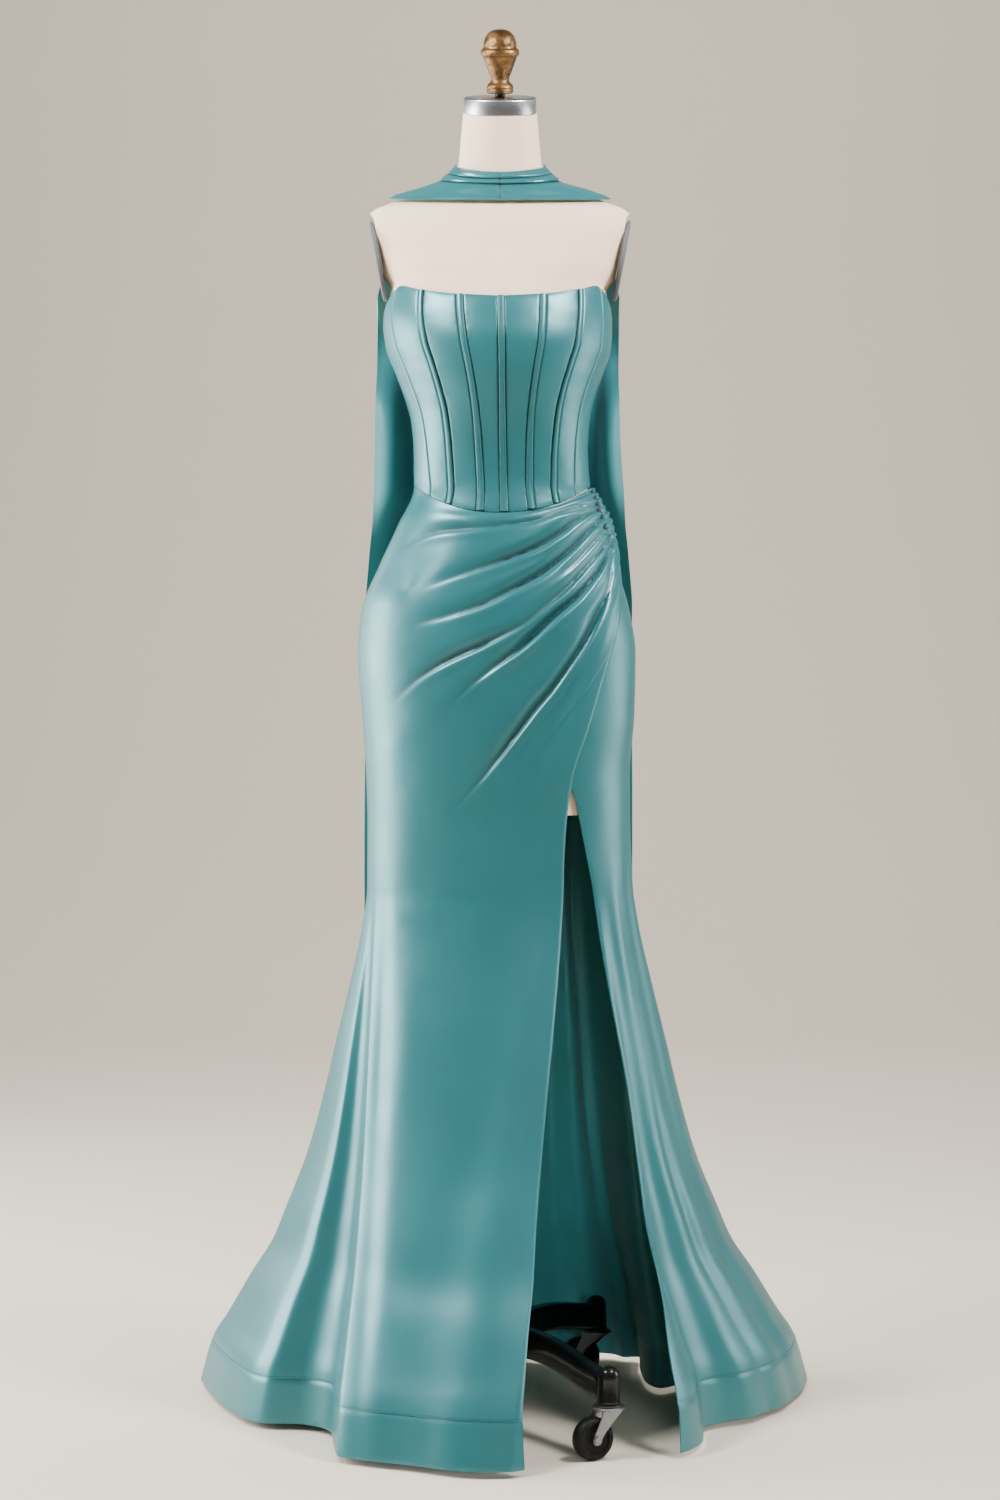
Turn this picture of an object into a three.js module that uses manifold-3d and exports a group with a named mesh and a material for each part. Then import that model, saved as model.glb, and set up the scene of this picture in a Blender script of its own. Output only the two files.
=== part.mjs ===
import * as THREE from "three";
import { mergeVertices } from "three/addons/utils/BufferGeometryUtils.js";
import Module from "manifold-3d";

// A strapless mermaid gown with a boned bodice, a draped wrap skirt with a slit, and a matching neck scarf,
// on a limbless dress form with a cast base on four swivel casters.
// Millimetres, +Z up. The front faces -Y, and the origin is on the floor under the pole.
// A place on the cloth is a turn about the body, 0 at centre front and 90 at +X, and a height.

// Cloth
const BODICE_WALL = 2;
const SKIRT_WALL = 1.5;
const SCARF_WALL = 1.5;
const SEAM_GAP = 0.36;
const HEM_HEIGHT = 8;
const HEM_BAND = 54;
const KNEE_HEIGHT = 650;
const WAIST_SIDE = 1158;
const WAIST_DIP = 38;
const CHANNEL_WIDTH = 8;
const CHANNEL_LIFT = 1.7;
const CHANNEL_WALL = 1.2;
const WRAP_LIFT = 4.5;
const WRAP_UNDERLAP = 5;
const SIDE_PANEL_TOP = 1076;

// Dress form
const FORM_BOTTOM = 750;
const FORM_CLEARANCE = 1.8;
const FORM_TOP_OF_BODICE = 1404;
const FORM_NARROWS = 1070;
const NECK_LEAN = 0.3;
const CAP_RADIUS = 45.5;
const CAP_HEIGHT = 20;
const ARM_PLATE = { x: 152, z: 1441, high: 50, deep: 44, thick: 6, lean: 0.18 };

// Stand
const POLE_RADIUS = 12.5;
const HUB_BOTTOM = 70;
const HUB_TOP = 135;
const HUB_RADIUS = 34;
const LEG_TURNS = { front_right: 30, back_right: 150, back_left: 210, front_left: 330 };
const LEG_REACH = 255;
const BARREL_RADIUS = 13;
const BARREL_BOTTOM = 63;
const BARREL_TOP = 105;
const WHEEL_RADIUS = 25;
const WHEEL_WIDTH = 18;
const WHEEL_BORE = 3.4;
const AXLE_RADIUS = 3;
const CASTER_TRAIL = 22;
const FORK_WALL = 2;
const FORK_TOP = 62.7;
// Which way each caster's trail has swung, as a turn of its fork from +X.
const CASTER_HEADING = { front_right: 30, back_right: -30, back_left: 205, front_left: 240 };

// Outer face of the gown from the knee up: half widths to the left and right, and depths to the front and back.
const BODY = [
  { z: 650, left: 166, right: 165, front: 105, back: 105 },
  { z: 739, left: 165.5, right: 161, front: 106, back: 105 },
  { z: 795, left: 167, right: 160.5, front: 108, back: 108 },
  { z: 874, left: 172, right: 168, front: 110, back: 118 },
  { z: 950, left: 177.5, right: 169.5, front: 110, back: 125 },
  { z: 1005, left: 172.5, right: 161.5, front: 107, back: 118 },
  { z: 1062, left: 150, right: 145, front: 99, back: 102 },
  { z: 1111, left: 127.6, right: 132.5, front: 92, back: 84 },
  { z: 1158, left: 107.6, right: 113, front: 87, back: 73 },
  { z: 1205, left: 108, right: 110, front: 93, back: 73 },
  { z: 1239, left: 111, right: 112, front: 102, back: 76 },
  { z: 1270, left: 119.5, right: 118.5, front: 112, back: 79 },
  { z: 1300, left: 130.5, right: 129, front: 120, back: 82 },
  { z: 1330, left: 142, right: 138.5, front: 123, back: 84 },
  { z: 1360, left: 146, right: 140, front: 119, back: 84 },
  { z: 1410, left: 139, right: 136, front: 106, back: 80 },
];

// How far the skirt has spread from the knee ring, 0, to the hem, 1.
const FLARE = [
  { z: 8, open: 1 },
  { z: 70, open: 0.918 },
  { z: 100, open: 0.835 },
  { z: 160, open: 0.68 },
  { z: 205, open: 0.555 },
  { z: 250, open: 0.472 },
  { z: 320, open: 0.35 },
  { z: 394, open: 0.255 },
  { z: 455, open: 0.19 },
  { z: 540, open: 0.097 },
  { z: 600, open: 0.036 },
  { z: 650, open: 0 },
];

// The hem on the floor, a row for each crest and hollow of its folds.
const HEM = [
  { turn: -90, x: -391, y: 157 },
  { turn: -85, x: -368, y: 73 },
  { turn: -81, x: -339, y: -8 },
  { turn: -78, x: -309, y: -67 },
  { turn: -75.5, x: -285, y: -86 },
  { turn: -73.5, x: -249, y: -88 },
  { turn: -72, x: -224, y: -101 },
  { turn: -70.5, x: -204, y: -132 },
  { turn: -69.3, x: -198, y: -190 },
  { turn: -68, x: -190, y: -248 },
  { turn: -60, x: -165, y: -266 },
  { turn: -41, x: -128, y: -282 },
  { turn: -21, x: -89, y: -300 },
  { turn: -1, x: -45, y: -318 },
  { turn: 15, x: -10, y: -325 },
  { turn: 23, x: 8, y: -325 },
  { turn: 33, x: 29, y: -314 },
  { turn: 46, x: 211.5, y: -234 },
  { turn: 50, x: 243, y: -170 },
  { turn: 53, x: 246, y: -127 },
  { turn: 57, x: 259, y: -94 },
  { turn: 66, x: 307, y: -53 },
  { turn: 75, x: 353, y: 5 },
  { turn: 83, x: 390, y: 103 },
  { turn: 90, x: 403, y: 180 },
  { turn: 97, x: 388, y: 232 },
  { turn: 106, x: 318, y: 228 },
  { turn: 113, x: 252, y: 160 },
  { turn: 119, x: 208, y: 112 },
  { turn: 126, x: 190, y: 160 },
  { turn: 134, x: 188, y: 232 },
  { turn: 143, x: 192, y: 296 },
  { turn: 152, x: 148, y: 324 },
  { turn: 161, x: 92, y: 306 },
  { turn: 170, x: 46, y: 304 },
  { turn: 180, x: 0, y: 330 },
  { turn: 189, x: -48, y: 318 },
  { turn: 198, x: -94, y: 286 },
  { turn: 208, x: -142, y: 306 },
  { turn: 217, x: -192, y: 318 },
  { turn: 226, x: -226, y: 262 },
  { turn: 236, x: -250, y: 208 },
  { turn: 247, x: -302, y: 248 },
  { turn: 258, x: -352, y: 244 },
  { turn: 270, x: -391, y: 157 },
];

// Turn of the wrap panel's free edge: the hip gathers, the wrap over the side panel, then the slit's left edge.
const WRAP_EDGE = [
  { z: 8, turn: 33 },
  { z: 60, turn: 31 },
  { z: 175, turn: 27 },
  { z: 310, turn: 24.5 },
  { z: 390, turn: 25 },
  { z: 490, turn: 26.5 },
  { z: 672, turn: 28.5 },
  { z: 786, turn: 32.7 },
  { z: 855, turn: 40 },
  { z: 911, turn: 47 },
  { z: 989, turn: 61 },
  { z: 1030, turn: 73 },
  { z: 1060, turn: 83 },
  { z: 1088, turn: 90 },
];

// Turn of the side panel's front edge, the slit's right edge, below the slit's top.
const SLIT_EDGE = [
  { z: 8, turn: 46 },
  { z: 120, turn: 47.2 },
  { z: 245, turn: 51 },
  { z: 390, turn: 53 },
  { z: 516, turn: 49 },
  { z: 640, turn: 45 },
  { z: 753, turn: 36.6 },
  { z: 786, turn: 33.3 },
];

// Lines of the draped wrap panel from waist to hem, at the gathered edge and at the left seam.
// A line with a rise is the crest of a fold that dies out at its reach, and one without is a crease.
const DRAPE = [
  { gathered: 1160, seam: 1158, rise: 0, reach: 1 },
  { gathered: 1153, seam: 1140, rise: 3, reach: 0.6 },
  { gathered: 1147, seam: 1122, rise: 0, reach: 1 },
  { gathered: 1139, seam: 1095, rise: 5, reach: 0.8 },
  { gathered: 1131.7, seam: 1068.6, rise: 0, reach: 1 },
  { gathered: 1129, seam: 1022, rise: 6, reach: 0.85 },
  { gathered: 1126.3, seam: 975, rise: 0, reach: 1 },
  { gathered: 1123, seam: 950, rise: 5, reach: 0.75 },
  { gathered: 1119.6, seam: 924, rise: 0, reach: 1 },
  { gathered: 1111, seam: 895, rise: 6, reach: 0.8 },
  { gathered: 1103, seam: 868, rise: 1, reach: 1 },
  { gathered: 1096, seam: 845, rise: 6, reach: 0.8 },
  { gathered: 1090, seam: 820, rise: 0, reach: 1 },
  { gathered: 1087, seam: 772, rise: 7, reach: 0.85 },
  { gathered: 1084, seam: 726, rise: 0, reach: 1 },
  { gathered: 1079, seam: 640, rise: 8, reach: 0.7 },
  { gathered: 1070, seam: 537, rise: 0.5, reach: 1 },
  { gathered: 1030, seam: 455, rise: 5, reach: 0.6 },
  { gathered: 1003, seam: 420, rise: 0, reach: 1 },
  { gathered: 975, seam: 385, rise: 0, reach: 1 },
  { gathered: 945, seam: 352, rise: 0, reach: 1 },
  { gathered: 915, seam: 320, rise: 0, reach: 1 },
  { gathered: 885, seam: 295, rise: 0, reach: 1 },
  { gathered: 855, seam: 270, rise: 0, reach: 1 },
  { gathered: 786, seam: 225, rise: 0, reach: 1 },
  { gathered: 660, seam: 185, rise: 0, reach: 1 },
  { gathered: 490, seam: 145, rise: 0, reach: 1 },
  { gathered: 280, seam: 100, rise: 0, reach: 1 },
  { gathered: 62, seam: 62, rise: 0, reach: 1 },
];
const WAIST_LINE_FADE = 4;

// Rows of the other skirt panels up to the knee, the same as the wrap panel's at the left seam.
const SKIRT_HEIGHTS = [62, 100, 145, 185, 225, 270, 320, 385, 455, 537, 640];

// Columns of the wrap panel as turns at the hem, closer where its side fold steps back.
const WRAP_COLUMNS = [
  -90, -85, -81, -78, -75.5, -73.5, -71.5, -69.3, -68, -62, -52, -41, -31, -21, -11, -1, 7, 14, 20, 27, 33,
];

// Bodice seams, from the viewer's left: the turn at the top edge and at the waist, and whether a channel covers it.
const BODICE_SEAMS = [
  { name: "side_left", top: -90, waist: -90, channel: false },
  { name: "outer_left", top: -67, waist: -49, channel: false },
  { name: "bust_left", top: -42.8, waist: -32.5, channel: true },
  { name: "inner_left", top: -20, waist: -11.5, channel: true },
  { name: "centre", top: 0.3, waist: 2.4, channel: true },
  { name: "inner_right", top: 22.3, waist: 17.9, channel: true },
  { name: "bust_right", top: 45.8, waist: 34.2, channel: true },
  { name: "outer_right", top: 65.5, waist: 51.8, channel: false },
  { name: "side_right", top: 90, waist: 90, channel: false },
  { name: "back_right", top: 138, waist: 132, channel: false },
  { name: "zip", top: 180, waist: 180, channel: false },
  { name: "back_left", top: 222, waist: 228, channel: false },
  { name: "side_left_end", top: 270, waist: 270, channel: false },
];
const BODICE_PANELS = [
  "bodice_front_1",
  "bodice_front_2",
  "bodice_front_3",
  "bodice_front_4",
  "bodice_front_5",
  "bodice_front_6",
  "bodice_front_7",
  "bodice_front_8",
  "bodice_back_1",
  "bodice_back_2",
  "bodice_back_3",
  "bodice_back_4",
];

// Top edge of the bodice: low at centre front, high over the bust, dropping at the underarm to a straight back.
const TOP_EDGE = [
  { turn: -90, z: 1376 },
  { turn: -70, z: 1397 },
  { turn: -62, z: 1402 },
  { turn: -45, z: 1394 },
  { turn: -20, z: 1384 },
  { turn: 0, z: 1381 },
  { turn: 20, z: 1384 },
  { turn: 45, z: 1394 },
  { turn: 62, z: 1402 },
  { turn: 70, z: 1397 },
  { turn: 90, z: 1376 },
  { turn: 120, z: 1358 },
  { turn: 180, z: 1350 },
  { turn: 240, z: 1358 },
  { turn: 270, z: 1376 },
];

// Dress form above the bodice. Its middle moves to -Y as the neck leans forward.
const FORM_UPPER = [
  { z: 1404, wide: 133, front: 103, back: 76, lean: 0 },
  { z: 1425, wide: 149, front: 96, back: 84, lean: 0 },
  { z: 1450, wide: 160, front: 86, back: 88, lean: 0 },
  { z: 1475, wide: 167, front: 76, back: 86, lean: 0 },
  { z: 1492, wide: 168, front: 66, back: 80, lean: 0 },
  { z: 1502, wide: 160, front: 60, back: 74, lean: 0 },
  { z: 1512, wide: 138, front: 56, back: 69, lean: 0.02 },
  { z: 1524, wide: 104, front: 54, back: 64, lean: 0.05 },
  { z: 1540, wide: 68, front: 52, back: 56, lean: 0.1 },
  { z: 1556, wide: 53, front: 53, back: 49, lean: 0.16 },
  { z: 1590, wide: 49, front: 57, back: 40, lean: 0.24 },
  { z: 1622, wide: 46, front: 62, back: 30, lean: 0.3 },
];

// Scarf pleats round the neck: heights of the top and lower edges at centre front.
const PLEATS = [
  { name: "scarf_pleat_top", top: 1549, foot: 1537.5 },
  { name: "scarf_pleat_middle", top: 1540.5, foot: 1529 },
  { name: "scarf_pleat_lower", top: 1532, foot: 1503 },
];
const PLEAT_END = 100;
const PLEAT_SIDE_RISE = 12;

// Free tails of the scarf: outer and inner edges from the axis, for each side, down the back.
const TAILS = {
  left: [
    { z: 560, outer: 182, inner: 92 },
    { z: 700, outer: 182, inner: 88 },
    { z: 920, outer: 180, inner: 84 },
    { z: 1010, outer: 178, inner: 80 },
    { z: 1070, outer: 169, inner: 76 },
    { z: 1140, outer: 158, inner: 72 },
    { z: 1240, outer: 156, inner: 68 },
    { z: 1400, outer: 156, inner: 62 },
  ],
  right: [
    { z: 545, outer: 176, inner: 84 },
    { z: 700, outer: 175, inner: 82 },
    { z: 920, outer: 175, inner: 80 },
    { z: 1010, outer: 175, inner: 78 },
    { z: 1070, outer: 167, inner: 74 },
    { z: 1140, outer: 156, inner: 70 },
    { z: 1240, outer: 150, inner: 66 },
    { z: 1400, outer: 152, inner: 60 },
  ],
};
const TAIL_STAND_OFF = 9;
const TAIL_SHOULDER = 1400;
const TAIL_WAVES = 2.5;
const TAIL_WAVE_DEPTH = 7;

const satin = new THREE.MeshStandardMaterial({ color: 0x4f9593, roughness: 0.35, metalness: 0.1 });
const formCloth = new THREE.MeshStandardMaterial({ color: 0xe6d8c8, roughness: 0.9, metalness: 0 });
const brushedSteel = new THREE.MeshStandardMaterial({ color: 0xb9bbbd, roughness: 0.35, metalness: 0.9 });
const agedBrass = new THREE.MeshStandardMaterial({ color: 0x9a7b4a, roughness: 0.5, metalness: 0.8 });
const blackIron = new THREE.MeshStandardMaterial({ color: 0x141414, roughness: 0.3, metalness: 0.4 });
const zinc = new THREE.MeshStandardMaterial({ color: 0xa5a8ab, roughness: 0.35, metalness: 0.9 });
const blackRubber = new THREE.MeshStandardMaterial({ color: 0x1a1a1b, roughness: 0.6, metalness: 0 });
const greyPlate = new THREE.MeshStandardMaterial({ color: 0x6d6f72, roughness: 0.6, metalness: 0.1 });

const gown = new THREE.Group();
const wasm = await Module();
wasm.setup();

function radians(degrees) {
  return (degrees * Math.PI) / 180;
}

function mix(a, b, share) {
  return a + (b - a) * share;
}

// 0 at from and before, 1 at to and past it, whichever is greater.
function smooth(from, to, value) {
  const share = Math.min(1, Math.max(0, (value - from) / (to - from)));
  return share * share * (3 - 2 * share);
}

// Reads one column of a table at any place along it, on a smooth curve that never overshoots its rows.
function read(table, by, at, column) {
  const rising = table[0][by] < table[table.length - 1][by];
  const rows = rising ? table : [...table].reverse();
  const last = rows.length - 1;
  if (at <= rows[0][by]) return rows[0][column];
  if (at >= rows[last][by]) return rows[last][column];
  const above = rows.findIndex((row) => row[by] > at);
  const below = above - 1;
  const slope = (i) => (rows[i + 1][column] - rows[i][column]) / (rows[i + 1][by] - rows[i][by]);
  const tangent = (i) => {
    if (i === 0) return slope(0);
    if (i === last) return slope(last - 1);
    const before = slope(i - 1);
    const after = slope(i);
    return before * after <= 0 ? 0 : (2 * before * after) / (before + after);
  };
  const span = rows[above][by] - rows[below][by];
  const t = (at - rows[below][by]) / span;
  const start = rows[below][column] * (1 + 2 * t) * (1 - t) ** 2 + tangent(below) * span * t * (1 - t) ** 2;
  const end = rows[above][column] * t * t * (3 - 2 * t) - tangent(above) * span * t * t * (1 - t);
  return start + end;
}

// A point of a ring whose half widths and depths differ on each side.
function ringPoint(turn, left, right, front, back, z) {
  const s = Math.sin(radians(turn));
  const c = Math.cos(radians(turn));
  return new THREE.Vector3(s * (s < 0 ? left : right), -c * (c > 0 ? front : back), z);
}

// The outer face of the gown.
function bodyPoint(turn, z) {
  const height = Math.max(z, KNEE_HEIGHT);
  const [left, right, front, back] = ["left", "right", "front", "back"].map((side) => read(BODY, "z", height, side));
  const ring = ringPoint(turn, left, right, front, back, z);
  if (z >= KNEE_HEIGHT) return ring;
  const hem = new THREE.Vector3(read(HEM, "turn", turn, "x"), read(HEM, "turn", turn, "y"), z);
  return ring.lerp(hem, read(FLARE, "z", z, "open"));
}

// The dress form's outer face, just inside the gown and then bare above it.
function formPoint(turn, z) {
  if (z <= FORM_TOP_OF_BODICE) {
    const inset = BODICE_WALL + FORM_CLEARANCE + 3 * (1 - smooth(FORM_NARROWS, WAIST_SIDE - WAIST_DIP, z));
    return offset(bodyPoint, turn, z, -inset);
  }
  const [wide, front, back, lean] = ["wide", "front", "back", "lean"].map((side) => read(FORM_UPPER, "z", z, side));
  const point = ringPoint(turn, wide, wide, front, back, z);
  const armhole = ARM_PLATE.x - ARM_PLATE.thick / 2 - 1 + (z - ARM_PLATE.z) * ARM_PLATE.lean;
  if (z < 1500) point.x = Math.max(-armhole, Math.min(armhole, point.x));
  point.z += lean * (point.y - (back - front) / 2);
  return point;
}

// A point lifted off a surface along the surface's outward direction.
function offset(surface, turn, z, lift) {
  const step = 0.5;
  const across = surface(turn + step, z).sub(surface(turn - step, z));
  const up = surface(turn, z + 1).sub(surface(turn, z - 1));
  return surface(turn, z).addScaledVector(across.cross(up).normalize(), lift);
}

// A closed wall between two faces of (columns + 1) by (rows + 1) points.
function wallBetween(columns, rows, outer, inner) {
  const positions = [];
  const index = [];
  const wide = columns + 1;
  const face = wide * (rows + 1);
  for (const side of [outer, inner])
    for (let j = 0; j <= rows; j++)
      for (let i = 0; i <= columns; i++) positions.push(...side(i, j).toArray());
  for (let j = 0; j < rows; j++)
    for (let i = 0; i < columns; i++) {
      const a = j * wide + i;
      index.push(a, a + 1, a + wide + 1, a, a + wide + 1, a + wide);
      const b = face + a;
      index.push(b, b + wide + 1, b + 1, b, b + wide, b + wide + 1);
    }
  const rim = [];
  for (let i = 0; i < columns; i++) rim.push(i);
  for (let j = 0; j < rows; j++) rim.push(j * wide + columns);
  for (let i = columns; i > 0; i--) rim.push(rows * wide + i);
  for (let j = rows; j > 0; j--) rim.push(j * wide);
  rim.forEach((a, k) => {
    const b = rim[(k + 1) % rim.length];
    index.push(a, face + a, face + b, a, face + b, b);
  });
  const geometry = new THREE.BufferGeometry();
  geometry.setAttribute("position", new THREE.Float32BufferAttribute(positions, 3));
  geometry.setIndex(index);
  geometry.computeVertexNormals();
  return geometry;
}

// A wall of cloth on a surface: place gives the turn, height and lift of each grid point of the outer face.
function cloth(name, material, surface, columns, rows, thick, place) {
  const lifted = (below) => (i, j) => {
    const { turn, z, lift } = place(i / columns, j / rows, i, j);
    return offset(surface, turn, z, lift - below);
  };
  return addMesh(name, wallBetween(columns, rows, lifted(0), lifted(thick)), material);
}

function addMesh(name, geometry, material, parent = gown) {
  const mesh = new THREE.Mesh(geometry, material);
  mesh.name = name;
  parent.add(mesh);
  return mesh;
}

// Half a seam gap as a turn, at a height.
function seamTurn(z) {
  const around = mix(read(BODY, "z", Math.max(z, KNEE_HEIGHT), "front"), 230, z < KNEE_HEIGHT ? read(FLARE, "z", z, "open") : 0);
  return ((SEAM_GAP / 2 / around) * 180) / Math.PI;
}

function waistHeight(turn) {
  const c = Math.cos(radians(turn));
  return WAIST_SIDE - (c > 0 ? WAIST_DIP : 8) * c * c;
}

function bodiceSeamTurn(seam, z) {
  const down = Math.min(1, Math.max(0, (1384 - z) / (1384 - 1120)));
  return mix(seam.top, seam.waist, Math.abs(seam.top) > 60 ? down ** 1.5 : down);
}

function addBodice() {
  const rows = 10;
  BODICE_PANELS.forEach((name, k) => {
    const [first, second] = [BODICE_SEAMS[k], BODICE_SEAMS[k + 1]];
    const widest = Math.max(second.top - first.top, second.waist - first.waist);
    const columns = Math.max(2, Math.round(widest / 11));
    cloth(name, satin, bodyPoint, columns, rows, BODICE_WALL, (u, v) => {
      const guess = mix(first.top, second.top, u);
      const z = mix(waistHeight(guess) + SEAM_GAP / 2, read(TOP_EDGE, "turn", guess, "z"), v);
      const gap = seamTurn(z);
      const turn = mix(bodiceSeamTurn(first, z) + gap, bodiceSeamTurn(second, z) - gap, u);
      return { turn, z: z + (1 - v) * (waistHeight(turn) - waistHeight(guess)), lift: 0 };
    });
  });
  BODICE_SEAMS.filter((seam) => seam.channel).forEach((seam) => {
    cloth("bone_channel_" + seam.name, satin, bodyPoint, 1, rows, CHANNEL_WALL, (u, v) => {
      const low = waistHeight(seam.waist) + 1;
      const z = mix(low, read(TOP_EDGE, "turn", seam.top, "z") - 0.5, v);
      const half = ((CHANNEL_WIDTH / 2 / 100) * 180) / Math.PI;
      return { turn: bodiceSeamTurn(seam, z) + mix(-half, half, u), z, lift: CHANNEL_LIFT };
    });
  });
}

// The wrap panel: its rows fan out from the hip gathers, and each fold follows a row.
function addWrapPanel() {
  const columns = WRAP_COLUMNS.length - 1;
  const rows = DRAPE.length - 1;
  const share = (i) => (WRAP_COLUMNS[i] - WRAP_COLUMNS[0]) / (WRAP_COLUMNS[columns] - WRAP_COLUMNS[0]);
  cloth("skirt_wrap_panel", satin, bodyPoint, columns, rows, SKIRT_WALL, (u, v, i, j) => {
    const line = DRAPE[rows - j];
    const across = share(i);
    const away = 1 - across;
    const flat = mix(line.seam, line.gathered, across);
    const gap = seamTurn(flat);
    const turn = mix(-90 + gap, read(WRAP_EDGE, "z", line.gathered, "turn") - gap, across);
    const pull = Math.max(0, 1 - (rows - j) / WAIST_LINE_FADE);
    const seamLine = waistHeight(turn) - mix(WAIST_SIDE, 1160, across);
    const edge = j === 0 ? SEAM_GAP / 2 : 0;
    const z = flat + pull * seamLine - (j === rows ? SEAM_GAP / 2 + (flat - WAIST_SIDE) : 0) + edge;
    const swell = (0.35 + 0.65 * smooth(0, 0.14, away)) * (1 - smooth(line.reach - 0.4, line.reach, away));
    const inside = read(WRAP_EDGE, "z", z, "turn") - turn;
    const overlap = WRAP_LIFT * smooth(18, 7, inside) * smooth(740, 830, z);
    return { turn, z, lift: line.rise * swell + overlap };
  });
}

function addSidePanel() {
  const heights = [...SKIRT_HEIGHTS, 700, 760, 810, 860, 910, 955, 995, 1035, SIDE_PANEL_TOP];
  cloth("skirt_side_panel", satin, bodyPoint, 8, heights.length - 1, SKIRT_WALL, (u, v, i, j) => {
    const z = heights[j] + (j === 0 ? SEAM_GAP / 2 : 0);
    const tucked = read(WRAP_EDGE, "z", z, "turn") - WRAP_UNDERLAP;
    const front = mix(read(SLIT_EDGE, "z", z, "turn"), tucked, smooth(775, 800, z));
    return { turn: mix(front, 90 - seamTurn(z), u), z, lift: 0 };
  });
}

function addBackPanels() {
  const heights = [...SKIRT_HEIGHTS, 740, 840, 920, 985, 1040, 1085, 1122, WAIST_SIDE];
  [
    { name: "skirt_back_right", from: 90, to: 180 },
    { name: "skirt_back_left", from: 180, to: 270 },
  ].forEach(({ name, from, to }) => {
    cloth(name, satin, bodyPoint, 16, heights.length - 1, SKIRT_WALL, (u, v, i, j) => {
      const top = j === heights.length - 1;
      const gap = seamTurn(heights[j]);
      const turn = mix(from + gap, to - gap, u);
      const z = top ? waistHeight(turn) - SEAM_GAP / 2 : heights[j] + (j === 0 ? SEAM_GAP / 2 : 0);
      return { turn, z, lift: 0 };
    });
  });
}

function addHemBands() {
  const bottom = HEM_HEIGHT;
  const top = HEM_HEIGHT + HEM_BAND - SEAM_GAP / 2;
  const shares = WRAP_COLUMNS.map((turn) => (turn - WRAP_COLUMNS[0]) / (33 + 90));
  const bands = [
    { name: "hem_band_front", from: () => -90, to: (z) => read(WRAP_EDGE, "z", z, "turn"), shares },
    { name: "hem_band_side", from: (z) => read(SLIT_EDGE, "z", z, "turn"), to: () => 90, columns: 8 },
    { name: "hem_band_back_right", from: () => 90, to: () => 180, columns: 16 },
    { name: "hem_band_back_left", from: () => 180, to: () => 270, columns: 16 },
  ];
  bands.forEach(({ name, from, to, shares: uneven, columns }) => {
    const count = uneven ? uneven.length - 1 : columns;
    cloth(name, satin, bodyPoint, count, 1, SKIRT_WALL, (u, v, i) => {
      const z = mix(bottom, top, v);
      const gap = seamTurn(z);
      const across = uneven ? uneven[i] : u;
      return { turn: mix(from(z) + gap, to(z) - gap, across), z, lift: 0 };
    });
  });
}

// The concealed zip's slider and its pull tab, at the top of the centre-back seam.
function addZip() {
  const top = read(TOP_EDGE, "turn", 180, "z");
  const back = read(BODY, "z", top, "back");
  const slider = new THREE.BoxGeometry(7, 4, 11).translate(0, back + 2.8, top - 8);
  addMesh("zip_slider", slider, brushedSteel);
  const outline = new THREE.Shape();
  outline.moveTo(-2, -0.6).lineTo(2, -0.6).lineTo(3, -20);
  outline.absarc(0, -20, 3, 0, -Math.PI, true);
  outline.closePath();
  const tab = new THREE.ExtrudeGeometry(outline, { depth: 1.4, bevelEnabled: false, curveSegments: 6 });
  tab.rotateX(Math.PI / 2).translate(0, back + 6.6, top - 7);
  addMesh("zip_pull_tab", tab, brushedSteel);
}

// A pleat lies on the one below it: its top is tucked in, and its lower edge stands off.
function addScarf() {
  PLEATS.forEach(({ name, top, foot }) => {
    cloth(name, satin, formPoint, 24, 2, SCARF_WALL, (u, v) => {
      const turn = mix(-PLEAT_END, PLEAT_END, u);
      const rise = PLEAT_SIDE_RISE * (1 - Math.cos(radians(turn))) * 0.9;
      return { turn, z: mix(foot, top, v) + rise, lift: mix(7.5, 4, v) };
    });
  });
  for (const [side, table] of Object.entries(TAILS)) addTail("scarf_tail_" + side, table, side === "left" ? -1 : 1);
}

function addTail(name, table, sign) {
  const lowest = table[0].z;
  const hang = (u, z) => {
    const x = mix(read(table, "z", z, "outer"), read(table, "z", z, "inner"), u);
    const height = Math.max(z, KNEE_HEIGHT);
    const side = sign < 0 ? "left" : "right";
    const share = Math.min(1, (0.86 * x) / read(BODY, "z", height, side));
    const behind = read(BODY, "z", height, "back") * Math.sqrt(1 - share * share);
    const wave = TAIL_WAVE_DEPTH * (0.5 - 0.5 * Math.cos(2 * Math.PI * TAIL_WAVES * u));
    const free = smooth(740, 540, z) * 26 + TAIL_STAND_OFF;
    return new THREE.Vector3(sign * x, behind + free + wave, z);
  };
  const shoulder = (u) => offset(formPoint, sign * (PLEAT_END + 1), mix(1526, 1556, u), 3.3);
  const outer = (u, v) => {
    if (v < 0.72) return hang(u, mix(lowest, TAIL_SHOULDER, v / 0.72));
    const start = shoulder(u);
    const end = hang(u, TAIL_SHOULDER);
    const bend = new THREE.Vector3(mix(start.x, end.x, 0.6), Math.max(end.y, 84) + 22, start.z - 6);
    return new THREE.QuadraticBezierCurve3(end, bend, start).getPoint((v - 0.72) / 0.28);
  };
  const columns = 7;
  const rows = 14;
  const at = (depth) => (i, j) => {
    const u = sign > 0 ? i / columns : 1 - i / columns;
    const v = j / rows;
    const up = outer(u, Math.min(1, v + 0.01)).sub(outer(u, Math.max(0, v - 0.01)));
    const inwards = outer(Math.min(1, u + 0.01), v).sub(outer(Math.max(0, u - 0.01), v));
    const away = inwards.multiplyScalar(sign).cross(up).normalize();
    return outer(u, v).addScaledVector(away, -depth);
  };
  addMesh(name, wallBetween(columns, rows, at(0), at(SCARF_WALL)), satin);
}

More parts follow.
